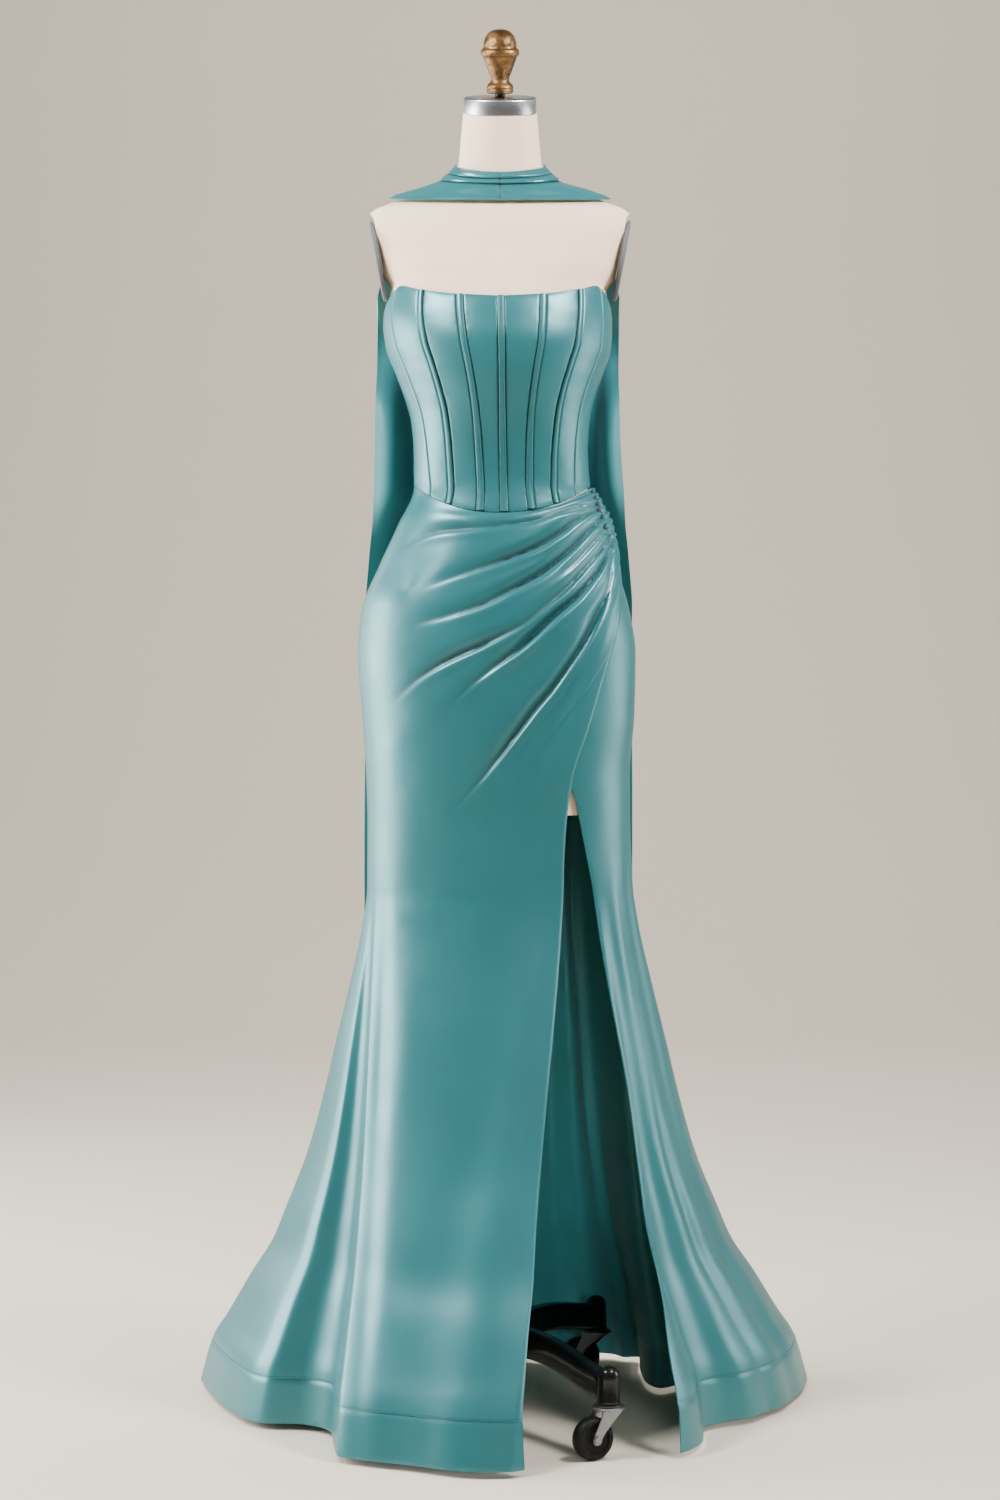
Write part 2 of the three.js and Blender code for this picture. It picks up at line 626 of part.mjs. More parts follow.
// Joins or cuts closed bodies that pass through each other.
function solidOf(geometry) {
  const bare = geometry.clone().deleteAttribute("normal").deleteAttribute("uv");
  const merged = mergeVertices(bare, 1e-4);
  const mesh = { numProp: 3, vertProperties: merged.attributes.position.array, triVerts: new Uint32Array(merged.index.array) };
  return new wasm.Manifold(new wasm.Mesh(mesh));
}

function joined(...geometries) {
  const { numProp, vertProperties, triVerts } = geometries
    .map(solidOf)
    .reduce((whole, piece) => whole.add(piece))
    .getMesh();
  const geometry = new THREE.BufferGeometry();
  geometry.setAttribute("position", new THREE.BufferAttribute(vertProperties, numProp));
  geometry.setIndex(new THREE.BufferAttribute(triVerts, 1));
  geometry.computeVertexNormals();
  return geometry;
}

// Closed body through rings of points, with a flat cap at each end.
function throughRings(sides, heights, ringAt) {
  const positions = [];
  const index = [];
  for (const z of heights) for (let i = 0; i < sides; i++) positions.push(...ringAt((360 * i) / sides, z).toArray());
  for (let j = 0; j < heights.length - 1; j++)
    for (let i = 0; i < sides; i++) {
      const a = j * sides + i;
      const b = j * sides + ((i + 1) % sides);
      index.push(a, b, b + sides, a, b + sides, a + sides);
    }
  const last = (heights.length - 1) * sides;
  for (let i = 1; i < sides - 1; i++) index.push(0, i + 1, i, last, last + i, last + i + 1);
  const geometry = new THREE.BufferGeometry();
  geometry.setAttribute("position", new THREE.Float32BufferAttribute(positions, 3));
  geometry.setIndex(index);
  geometry.computeVertexNormals();
  return geometry;
}

function addForm() {
  const heights = [FORM_BOTTOM, 840, 930, 985, 1035, 1080, 1118, 1140];
  for (let z = WAIST_SIDE; z < 1390; z += 24) heights.push(z);
  heights.push(FORM_TOP_OF_BODICE, 1425, 1450, 1475, 1492, 1502, 1512, 1524, 1540, 1556, 1590, 1622);
  addMesh("form_torso", throughRings(30, heights, formPoint), formCloth);
  for (const [side, sign] of [["left", -1], ["right", 1]]) {
    const plate = new THREE.CylinderGeometry(1, 1, ARM_PLATE.thick, 24).rotateZ(Math.PI / 2);
    plate.scale(1, ARM_PLATE.deep, ARM_PLATE.high);
    plate.applyMatrix4(new THREE.Matrix4().makeShear(0, 0, 0, 0, sign * ARM_PLATE.lean, 0));
    plate.translate(sign * ARM_PLATE.x, 0, ARM_PLATE.z);
    addMesh("arm_plate_" + side, plate, greyPlate);
  }
}

// The steel cap, stud and finial share the leaning axis of the neck.
function addNeckTop() {
  const neck = new THREE.Group();
  const { z, front, back } = FORM_UPPER[FORM_UPPER.length - 1];
  neck.position.set(0, (back - front) / 2, z + 0.35);
  neck.rotation.x = Math.atan(NECK_LEAN);
  gown.add(neck);
  const lathe = (name, profile, sides, material) => {
    const points = profile.map(([radius, height]) => new THREE.Vector2(radius, height));
    addMesh(name, new THREE.LatheGeometry(points, sides).rotateX(Math.PI / 2), material, neck);
  };
  const cap = [[0, 0], [CAP_RADIUS, 0], [CAP_RADIUS, CAP_HEIGHT - 2], [CAP_RADIUS - 2, CAP_HEIGHT], [0, CAP_HEIGHT]];
  lathe("neck_cap", cap, 24, brushedSteel);
  const stud = [[0, 0], [6.2, 0], [6.2, 3.6], [0, 3.6]].map(([radius, height]) => [radius, height + CAP_HEIGHT + 0.3]);
  lathe("finial_stud", stud, 12, blackIron);
  const foot = CAP_HEIGHT + 4.2;
  const knob = [
    [0, 0], [15.5, 0], [16.5, 2], [16.5, 9], [11.5, 14.5], [12, 20], [19, 38],
    [21.5, 45], [23.8, 47.5], [23.8, 52], [21, 55], [19, 66], [14, 73], [0, 77.5],
  ].map(([radius, height]) => [radius, height + foot]);
  lathe("finial_knob", knob, 16, agedBrass);
}

// The black stand: a pole in a hub, and four cast legs.
function addStand() {
  const pole = new THREE.CylinderGeometry(POLE_RADIUS, POLE_RADIUS, FORM_BOTTOM - HUB_TOP - 0.7, 16);
  pole.rotateX(Math.PI / 2).translate(0, 0, (FORM_BOTTOM + HUB_TOP) / 2);
  addMesh("pole", pole, blackIron);
  const hub = [
    [0, HUB_BOTTOM], [HUB_RADIUS - 6, HUB_BOTTOM], [HUB_RADIUS, HUB_BOTTOM + 8], [HUB_RADIUS, 108],
    [22, 120], [20, HUB_TOP], [0, HUB_TOP],
  ].map(([radius, height]) => new THREE.Vector2(radius, height));
  addMesh("stand_hub", new THREE.LatheGeometry(hub, 16).rotateX(Math.PI / 2), blackIron);
  for (const [name, turn] of Object.entries(LEG_TURNS)) {
    addLeg(name, turn);
    addCaster(name, turn);
  }
}

// A leg's bar in side view, from the hub to the barrel, with an arched underside.
function legOutline() {
  const start = HUB_RADIUS + 0.3;
  const end = LEG_REACH - 7;
  const outline = new THREE.Shape();
  outline.moveTo(start, 76);
  outline.quadraticCurveTo(start + 70, 86, mix(start, end, 0.62), 76);
  outline.quadraticCurveTo(end - 26, 66, end, 68);
  outline.lineTo(end, 97);
  outline.quadraticCurveTo(end - 60, 104, start + 50, 112);
  outline.quadraticCurveTo(start + 20, 116, start, 116);
  return outline;
}

function latheOf(profile, sides) {
  const points = profile.map(([radius, height]) => new THREE.Vector2(radius, height));
  return new THREE.LatheGeometry(points, sides).rotateX(Math.PI / 2);
}

function addLeg(name, turn) {
  const leg = new THREE.Group();
  leg.rotation.z = radians(turn - 90);
  gown.add(leg);
  const bevel = { bevelEnabled: true, bevelThickness: 4, bevelSize: 3.5, bevelOffset: -3.5, bevelSegments: 1 };
  const bar = new THREE.ExtrudeGeometry(legOutline(), { depth: 12, curveSegments: 3, ...bevel });
  bar.translate(0, 0, -6).rotateX(Math.PI / 2);
  const barrel = [
    [0, BARREL_BOTTOM], [BARREL_RADIUS - 1.5, BARREL_BOTTOM], [BARREL_RADIUS, BARREL_BOTTOM + 1.5],
    [BARREL_RADIUS, BARREL_TOP - 8], [BARREL_RADIUS - 4, BARREL_TOP - 2], [0, BARREL_TOP],
  ];
  addMesh("leg_" + name, joined(bar, latheOf(barrel, 12).translate(LEG_REACH, 0, 0)), blackIron, leg);
}

// A swivel caster: its fork trails to one side of its plate, and a wheel turns on the axle between the cheeks.
function addCaster(name, turn) {
  const caster = new THREE.Group();
  caster.position.set(LEG_REACH * Math.sin(radians(turn)), -LEG_REACH * Math.cos(radians(turn)), 0);
  caster.rotation.z = radians(CASTER_HEADING[name]);
  gown.add(caster);
  const cheek = new THREE.Shape();
  cheek.moveTo(12, 60).lineTo(-13, 60).lineTo(-CASTER_TRAIL - 8, 42).lineTo(-CASTER_TRAIL - 6, WHEEL_RADIUS);
  cheek.absarc(-CASTER_TRAIL, WHEEL_RADIUS, 6, Math.PI, 2 * Math.PI, false);
  cheek.lineTo(-6, 44).lineTo(12, 54);
  cheek.closePath();
  const inside = WHEEL_WIDTH / 2 + 0.8;
  const outside = inside + FORK_WALL;
  const cheeks = [-1, 1].map((side) => {
    const plate = new THREE.ExtrudeGeometry(cheek, { depth: FORK_WALL, bevelEnabled: false, curveSegments: 3 });
    return plate.rotateX(Math.PI / 2).translate(0, side > 0 ? outside : -inside, 0);
  });
  const top = new THREE.BoxGeometry(25, 2 * outside, 3).translate(-0.5, 0, 58.5);
  const disc = latheOf([[0, 57], [15, 57], [15, FORK_TOP], [0, FORK_TOP]], 14);
  const axle = new THREE.CylinderGeometry(AXLE_RADIUS, AXLE_RADIUS, 2 * outside + 2, 8);
  axle.translate(-CASTER_TRAIL, 0, -WHEEL_RADIUS).rotateX(Math.PI);
  addMesh("caster_fork_" + name, joined(...cheeks, top, disc, axle), zinc, caster);
  const half = WHEEL_WIDTH / 2;
  const tyre = [
    [WHEEL_BORE, -half], [WHEEL_RADIUS - 3, -half], [WHEEL_RADIUS, 4 - half], [WHEEL_RADIUS, half - 4],
    [WHEEL_RADIUS - 3, half], [WHEEL_BORE, half], [WHEEL_BORE, -half],
  ].map(([radius, height]) => new THREE.Vector2(radius, height));
  const wheel = new THREE.LatheGeometry(tyre, 16).translate(-CASTER_TRAIL, 0, WHEEL_RADIUS);
  addMesh("caster_wheel_" + name, wheel, blackRubber, caster);
}

addBodice();
addWrapPanel();
addSidePanel();
addBackPanels();
addHemBands();
addZip();
addScarf();
addForm();
addNeckTop();
addStand();

export default gown;
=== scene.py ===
"""Dresses the mermaid gown and its form: satin, seams, creases, sewing, the finial and the stand."""

import math

import bpy
import numpy as np
from mathutils import Matrix, Vector


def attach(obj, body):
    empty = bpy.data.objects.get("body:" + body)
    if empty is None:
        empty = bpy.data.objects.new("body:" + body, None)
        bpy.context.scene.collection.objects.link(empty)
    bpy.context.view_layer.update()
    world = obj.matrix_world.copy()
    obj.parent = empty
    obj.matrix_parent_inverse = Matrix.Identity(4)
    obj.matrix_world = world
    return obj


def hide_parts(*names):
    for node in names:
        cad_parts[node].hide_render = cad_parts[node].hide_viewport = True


bl_info = {
    "name": "Mermaid gown on a dress form",
    "version": (1, 0, 0),
    "blender": (4, 5, 0),
    "location": "3D View > Sidebar > Gown",
    "description": "Satin, seams, draped folds and sewing of a strapless mermaid gown on its form",
    "category": "Add Mesh",
}

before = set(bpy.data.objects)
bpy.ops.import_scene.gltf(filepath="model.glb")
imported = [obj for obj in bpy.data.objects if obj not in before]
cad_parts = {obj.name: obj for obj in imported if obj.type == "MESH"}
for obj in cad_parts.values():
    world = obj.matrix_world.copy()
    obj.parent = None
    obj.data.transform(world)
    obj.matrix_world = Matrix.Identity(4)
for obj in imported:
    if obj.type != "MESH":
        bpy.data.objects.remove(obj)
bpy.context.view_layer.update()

# Lengths in the tables are millimetres. A mesh gets metres.
MM = 0.001

KNEE_HEIGHT = 650
HEM_HEIGHT = 8
HEM_BAND = 54
WAIST_SIDE = 1158
WAIST_DIP_FRONT = 38
WAIST_DIP_BACK = 8
SIDE_PANEL_TOP = 1076
WRAP_LIFT = 4.5
WRAP_UNDERLAP = 5
WAIST_LINE_FADE = 4
SEAM_GAP = 0.3
FORM_BOTTOM = 750
FORM_JOIN = 1404
ARM_PLATE = {"x": 152, "z": 1441, "high": 50, "deep": 44, "thick": 6, "lean": 0.18}
NECK_TOP = 1622.35
NECK_CENTRE = -16
NECK_LEAN = math.atan(0.3)
PLEAT_END = 100
TAIL_SHOULDER = 1400

# z, half widths to the left and right, depths to the front and back of the gown's outer face
BODY = [
    (650, 166, 165, 105, 105), (739, 165.5, 161, 106, 105), (795, 167, 160.5, 108, 108),
    (874, 172, 168, 110, 118), (950, 177.5, 169.5, 110, 125), (1005, 172.5, 161.5, 107, 118),
    (1062, 150, 145, 99, 102), (1111, 127.6, 132.5, 92, 84), (1158, 107.6, 113, 87, 73),
    (1205, 108, 110, 93, 73), (1239, 111, 112, 102, 76), (1270, 119.5, 118.5, 112, 79),
    (1300, 130.5, 129, 120, 82), (1330, 142, 138.5, 123, 84), (1360, 146, 140, 119, 84),
    (1410, 139, 136, 106, 80),
]

# z, how far the skirt has spread from the knee ring to the hem
FLARE = [
    (8, 1), (70, 0.918), (100, 0.835), (160, 0.68), (205, 0.555), (250, 0.472), (320, 0.35),
    (394, 0.255), (455, 0.19), (540, 0.097), (600, 0.036), (650, 0),
]

# turn, x, y of the hem on the floor
HEM = [
    (-90, -391, 157), (-85, -368, 73), (-81, -339, -8), (-78, -309, -67), (-75.5, -285, -86),
    (-73.5, -249, -88), (-72, -224, -101), (-70.5, -204, -132), (-69.3, -198, -190),
    (-68, -190, -248), (-60, -165, -266), (-41, -128, -282), (-21, -89, -300), (-1, -45, -318),
    (15, -10, -325), (23, 8, -325), (33, 29, -314), (46, 211.5, -234), (50, 243, -170),
    (53, 246, -127), (57, 259, -94), (66, 307, -53), (75, 353, 5), (83, 390, 103),
    (90, 403, 180), (97, 388, 232), (106, 318, 228), (113, 252, 160), (119, 208, 112),
    (126, 190, 160), (134, 188, 232), (143, 192, 296), (152, 148, 324), (161, 92, 306),
    (170, 46, 304), (180, 0, 330), (189, -48, 318), (198, -94, 286), (208, -142, 306),
    (217, -192, 318), (226, -226, 262), (236, -250, 208), (247, -302, 248), (258, -352, 244),
    (270, -391, 157),
]

# z, turn of the wrap panel's free edge
WRAP_EDGE = [
    (8, 33), (60, 31), (175, 27), (310, 24.5), (390, 25), (490, 26.5), (672, 28.5), (786, 32.7),
    (855, 40), (911, 47), (989, 61), (1030, 73), (1060, 83), (1088, 90),
]

# z, turn of the side panel's front edge below the top of the slit
SLIT_EDGE = [
    (8, 46), (120, 47.2), (245, 51), (390, 53), (516, 49), (640, 45), (753, 36.6), (786, 33.3),
]

# Draped lines of the wrap panel, waist to hem: height at the gathers, height at the left seam,
# rise of a fold's crest, how far across it reaches. A rise of 0 is the crease between two folds.
DRAPE = [
    (1160, 1158, 0, 1), (1153, 1140, 3, 0.6), (1147, 1122, 0, 1), (1139, 1095, 5, 0.8),
    (1131.7, 1068.6, 0, 1), (1129, 1022, 6, 0.85), (1126.3, 975, 0, 1), (1123, 950, 5, 0.75),
    (1119.6, 924, 0, 1), (1111, 895, 6, 0.8), (1103, 868, 1, 1), (1096, 845, 6, 0.8),
    (1090, 820, 0, 1), (1087, 772, 7, 0.85), (1084, 726, 0, 1), (1079, 640, 8, 0.7),
    (1070, 537, 0.5, 1), (1030, 455, 5, 0.6), (1003, 420, 0, 1), (975, 385, 0, 1),
    (945, 352, 0, 1), (915, 320, 0, 1), (885, 295, 0, 1), (855, 270, 0, 1), (786, 225, 0, 1),
    (660, 185, 0, 1), (490, 145, 0, 1), (280, 100, 0, 1), (62, 62, 0, 1),
]
SKIRT_HEIGHTS = [62, 100, 145, 185, 225, 270, 320, 385, 455, 537, 640]
WRAP_COLUMNS = [
    -90, -85, -81, -78, -75.5, -73.5, -71.5, -69.3, -68, -62, -52, -41, -31, -21, -11, -1, 7, 14,
    20, 27, 33,
]

# Thread holes between the gathers at the right hip, dented and filled with painted shade: turn, z, radius,
# depth
GATHER_HOLES = [
    (80, 1150, 2.2, 5), (77.5, 1141.5, 2.6, 5.5), (76, 1133, 2.4, 5), (73.5, 1126, 2.6, 5.5),
    (72.5, 1118, 2.2, 5), (72, 1105, 2.8, 5.5), (74, 1094, 2, 4),
]

# Creases of the wrap panel, from the gathers outward, each point (turn, z, depth).
# The satin sinks slowly towards a crease from above and rises sharply below it.
CREASES = [
    [(81, 1150, 1), (47.5, 1137.3, 1.6), (28, 1128.3, 1.8), (13.2, 1120.2, 0.8), (2.8, 1116.3, 0)],
    [(76.2, 1134.5, 1.4), (46, 1128.5, 1.6), (31.5, 1121.1, 1.2), (20.8, 1114.3, 0)],
    [(84, 1137, 1.6), (71, 1131.3, 1.8), (46.5, 1123.6, 2.2), (28.5, 1116, 2.2), (14.2, 1106.7, 1.6),
     (-1, 1101.5, 1.2), (-16, 1098.7, 1.8), (-27.2, 1097.4, 2.6), (-39.2, 1093.3, 2.6),
     (-48.8, 1086.7, 1.6), (-57.5, 1077.6, 0)],
    [(86, 1131, 2), (73.2, 1126.6, 2.2), (53.8, 1118.1, 2.6), (42.2, 1108.4, 3.2), (33.8, 1096.6, 3.8),
     (27.8, 1088.8, 4.2), (20.2, 1078.6, 4.4), (13.2, 1071, 4.2), (4.8, 1062.2, 3.6), (-3.2, 1054.8, 2.6),
     (-15.2, 1044, 1.8), (-24.8, 1034.5, 1.2), (-35.8, 1024.1, 0)],
    [(86, 1126, 2), (71.8, 1116.5, 2.2), (51.5, 1096.8, 3.2), (37, 1073.4, 4.2), (27.8, 1058, 5),
     (18.8, 1042.9, 5), (11, 1031.6, 4.4), (3, 1020.5, 3.6), (-4, 1009.5, 2.8), (-11.2, 1001.1, 2.6),
     (-21.8, 991.6, 2.2), (-30, 985.8, 1.4), (-38.8, 978.9, 0)],
    [(84, 1115, 1.2), (71.5, 1104, 1.4), (54.2, 1084.7, 1.8), (41.2, 1063.8, 1.6), (30.2, 1043.4, 0.9),
     (22, 1027.1, 0)],
    [(84, 1101, 1.8), (71.8, 1089.1, 2), (46.5, 1055.6, 2.6), (31.8, 1027.5, 2.8), (20.2, 1003.8, 2.2),
     (11, 984, 2), (0, 966.9, 3), (-8.8, 953.7, 4), (-17, 942.9, 4.2), (-25.2, 930.9, 3.6),
     (-33.8, 916.5, 2.6), (-41.8, 900.8, 1.4), (-48.5, 888.8, 0)],
    [(84, 1091, 2), (71.5, 1077.9, 2.4), (49.8, 1042.3, 3.6), (35, 1014.2, 5.4), (23, 990.4, 6.6),
     (13.8, 967.1, 6.6), (7.5, 951.2, 5.2), (1.8, 939.1, 3.6), (-7, 918.5, 2.2), (-14.5, 899.1, 1.4),
     (-22, 876.2, 0)],
    [(72, 1074, 0.6), (56.8, 1026.8, 1.6), (46.5, 994, 3.2), (36.8, 958, 4.2), (29.2, 929.8, 4),
     (22, 902.9, 4.2), (15, 879.7, 4.4), (8, 853, 4), (0.8, 825.2, 3), (-5.8, 800.9, 1.8),
     (-15.2, 770.5, 0.8), (-26.2, 741.2, 0)],
]
CREASE_ABOVE = 7.2
CREASE_BELOW = 2.3
FOLD_FULLNESS = 5

# Mesh of the wrap panel: steps between two of its columns, how many gaps of the drape table have
# creases, and how far apart the mesh's rows are in those gaps and in the plain ones below
WRAP_STEPS = 10
CREASED_ROWS = 18
ROW_CREASED = 4.2
ROW_PLAIN = 20

# Front hem band: steps between two of its columns. All bands: the stitching's height above their top.
HEM_STEPS = 8
HEM_STITCH = 2.4

# Soft folds of the skirt panels: turn and z at the top, turn and z at the foot, rise, half width
WRAP_FOLDS = [
    (21, 690, -4, 70, 4.2, 30), (2, 520, -26, 66, -2.6, 34), (-40, 600, -50, 70, 1.6, 26),
    (27, 420, 19, 66, -2, 22), (-58, 700, -62, 70, -2.4, 14),
]
SIDE_FOLDS = [
    (58, 720, 66, 70, 3.2, 15), (74, 760, 79, 66, -3, 15), (84, 900, 87, 400, 2, 12),
    (47, 520, 55, 66, -2.6, 12), (66, 430, 72, 66, -2.4, 10),
]
BACK_FOLDS = [
    (104, 1090, 128, 870, 2.4, 12), (112, 1130, 150, 960, -2.2, 10), (126, 1135, 172, 1040, 1.8, 9),
    (248, 1120, 212, 950, 2.3, 12), (240, 1138, 196, 1052, -1.8, 9), (256, 1060, 236, 880, -2.2, 11),
    (150, 760, 158, 300, 3, 16), (168, 700, 172, 220, -2.6, 13), (204, 740, 201, 280, 2.8, 15),
    (226, 690, 232, 240, -3, 17), (118, 690, 116, 250, -2.6, 14), (192, 640, 188, 180, 2.2, 12),
    (140, 830, 158, 780, -1.6, 12), (214, 838, 198, 776, 1.6, 12), (145, 820, 148, 66, -8, 9),
    (150, 800, 155, 66, 8, 9), (158, 760, 163, 66, -7, 10), (205, 780, 203, 66, -6, 11),
    (214, 740, 213, 66, 6, 10),
]

# Seams of the bodice: name, turn at the top edge, turn at the waist, whether a channel covers it
BODICE_SEAMS = [
    ("side_left", -90, -90, False), ("outer_left", -67, -49, False),
    ("bust_left", -42.8, -32.5, True), ("inner_left", -20, -11.5, True),
    ("centre", 0.3, 2.4, True), ("inner_right", 22.3, 17.9, True),
    ("bust_right", 45.8, 34.2, True), ("outer_right", 65.5, 51.8, False),
    ("side_right", 90, 90, False), ("back_right", 138, 132, False), ("zip", 180, 180, False),
    ("back_left", 222, 228, False), ("side_left_end", 270, 270, False),
]
BODICE_PANELS = [f"bodice_front_{k}" for k in range(1, 9)] + [f"bodice_back_{k}" for k in range(1, 5)]
TOP_EDGE = [
    (-90, 1376), (-70, 1397), (-62, 1402), (-45, 1394), (-20, 1384), (0, 1381), (20, 1384),
    (45, 1394), (62, 1402), (70, 1397), (90, 1376), (120, 1358), (180, 1350), (240, 1358),
    (270, 1376),
]
CHANNEL_HALF = 3.5
CHANNEL_LIFT = 1.4
CHANNEL_STITCH = 2.4
CHANNEL_WALL = 1.2
SEAM_TOP = 1384
SEAM_FOOT = 1120

# z, half width, depth to the front, depth to the back, lean of the dress form above the bodice
FORM_UPPER = [
    (1404, 133, 103, 76, 0), (1425, 149, 96, 84, 0), (1450, 160, 86, 88, 0),
    (1475, 167, 76, 86, 0), (1492, 168, 66, 80, 0), (1502, 160, 60, 74, 0),
    (1512, 138, 56, 69, 0.02), (1524, 104, 54, 64, 0.05), (1540, 68, 52, 56, 0.1),
    (1556, 53, 53, 49, 0.16), (1590, 49, 57, 40, 0.24), (1622, 46, 62, 30, 0.3),
]

# Scarf: name, top and lower edge of each pleat at centre front
PLEATS = [
    ("scarf_pleat_top", 1549, 1537.5), ("scarf_pleat_middle", 1540.5, 1529),
    ("scarf_pleat_lower", 1532, 1503),
]
PLEAT_SIDE_RISE = 12

# z, distance of the outer and inner edge of a tail from the middle plane
TAILS = {
    "left": [
        (560, 174, 92), (700, 173, 88), (920, 172, 84), (1010, 172, 80), (1070, 167, 76),
        (1140, 158, 72), (1240, 156, 68), (1400, 156, 62),
    ],
    "right": [
        (545, 170, 84), (700, 169, 82), (920, 169, 80), (1010, 169, 78), (1070, 164, 74),
        (1140, 156, 70), (1240, 150, 66), (1400, 152, 60),
    ],
}

# Folds of the tails: place across from the outer edge, half width, rise, drift across along its length
TAIL_FOLDS = {
    "left": [(0.41, 0.14, 7, 0.06), (0.82, 0.11, 5.5, -0.08)],
    "right": [(0.34, 0.12, 5, -0.04), (0.63, 0.15, 7.5, 0.06), (0.93, 0.09, 4, -0.03)],
}

# Stand
LEG_TURNS = {"front_right": 30, "back_right": 150, "back_left": 210, "front_left": 330}
CASTER_HEADING = {"front_right": 30, "back_right": -30, "back_left": 205, "front_left": 240}
LEG_REACH = 255
WHEEL_RADIUS = 25
CASTER_TRAIL = 22


def linear(red, green, blue):
    """A colour picked on screen, from 0 to 255, as the shader reads it."""
    parts = [c / 255 for c in (red, green, blue)]
    return tuple(c / 12.92 if c <= 0.04045 else ((c + 0.055) / 1.055) ** 2.4 for c in parts)


def track(rows, column):
    """One column of a table as a function, on a smooth curve that never overshoots its rows."""
    pairs = sorted((row[0], row[column]) for row in rows)
    place, value = np.array(pairs, float).T
    slope = np.diff(value) / np.diff(place)
    before, after = slope[:-1], slope[1:]
    same_way = before * after > 0
    middle = np.where(same_way, 2 * before * after / np.where(same_way, before + after, 1), 0)
    tangent = np.concatenate([slope[:1], middle, slope[-1:]])

    def at(where):
        where = np.clip(where, place[0], place[-1])
        k = np.clip(np.searchsorted(place, where, side="right") - 1, 0, len(place) - 2)
        span = place[k + 1] - place[k]
        t = (where - place[k]) / span
        start = value[k] * (1 + 2 * t) * (1 - t) ** 2 + tangent[k] * span * t * (1 - t) ** 2
        end = value[k + 1] * t * t * (3 - 2 * t) - tangent[k + 1] * span * t * t * (1 - t)
        return start + end

    return at


def smooth(start, end, value):
    share = np.clip((value - start) / (end - start), 0, 1)
    return share * share * (3 - 2 * share)


def mix(a, b, share):
    return a + (b - a) * share


body_left, body_right, body_front, body_back = (track(BODY, k) for k in range(1, 5))
hem_x, hem_y = track(HEM, 1), track(HEM, 2)
flare = track(FLARE, 1)
wrap_edge = track(WRAP_EDGE, 1)
slit_edge = track(SLIT_EDGE, 1)
top_edge = track(TOP_EDGE, 1)
form_wide, form_front, form_back, form_lean = (track(FORM_UPPER, k) for k in range(1, 5))


def ring(turn, left, right, front, back, z):
    s, c = np.sin(np.radians(turn)), np.cos(np.radians(turn))
    return np.stack([s * np.where(s < 0, left, right), -c * np.where(c > 0, front, back), z + 0 * s], -1)


def body_point(turn, z):
    """The gown's outer face at a turn about the body and a height."""
    turn, z = np.broadcast_arrays(np.asarray(turn, float), np.asarray(z, float))
    high = np.maximum(z, KNEE_HEIGHT)
    upper = ring(turn, body_left(high), body_right(high), body_front(high), body_back(high), z)
    hem = np.stack([hem_x(turn), hem_y(turn), z], -1)
    return mix(upper, hem, np.where(z < KNEE_HEIGHT, flare(z), 0)[..., None])


def outward(surface, turn, z):
    step = 0.6
    across = surface(turn + step, z) - surface(turn - step, z)
    up = surface(turn, z + 1) - surface(turn, z - 1)
    normal = np.cross(across, up)
    return normal / np.linalg.norm(normal, axis=-1, keepdims=True)


def lifted(surface, turn, z, lift):
    return surface(turn, z) + outward(surface, turn, z) * np.asarray(lift)[..., None]


def form_inset(z):
    return 3.8 + 3 * (1 - smooth(1070, 1120, z))


def form_point(turn, z):
    """The dress form's outer face: just inside the gown, then bare above it."""
    turn, z = np.broadcast_arrays(np.asarray(turn, float), np.asarray(z, float))
    low = np.minimum(z, FORM_JOIN)
    inside = lifted(body_point, turn, low, -form_inset(low))
    wide = form_wide(z)
    above = ring(turn, wide, wide, form_front(z), form_back(z), z)
    armhole = ARM_PLATE["x"] - ARM_PLATE["thick"] / 2 - 1 + (z - ARM_PLATE["z"]) * ARM_PLATE["lean"]
    limit = np.where(z < 1500, armhole, 1e3)
    above[..., 0] = np.clip(above[..., 0], -limit, limit)
    above[..., 2] += form_lean(z) * (above[..., 1] - (form_back(z) - form_front(z)) / 2)
    return np.where((z <= FORM_JOIN)[..., None], inside, above)


def waist_height(turn):
    c = np.cos(np.radians(turn))
    return WAIST_SIDE - np.where(c > 0, WAIST_DIP_FRONT, WAIST_DIP_BACK) * c * c


def folds(table, points, turn, z):
    """Soft folds: each is a line from its top to its foot, uneven in rise and dying out at both ends."""
    lift = np.zeros(z.shape)
    for top_turn, top_z, foot_turn, foot_z, rise, half in table:
        along = (top_z - z) / (top_z - foot_z)
        inside = np.clip(along, 0, 1)
        middle = mix(top_turn, foot_turn, inside ** 1.25)
        away = np.linalg.norm(points - body_point(middle, z), axis=-1)
        wide = half * mix(0.6, 1.5, inside)
        fade = smooth(-0.02, 0.3, along) * (1 - smooth(0.86, 1.25, along) * (foot_z > 100))
        uneven = 1 + 0.22 * np.sin(0.021 * z + top_turn)
        lift += rise * uneven * fade * np.exp(-((away / wide) ** 2))
    return lift


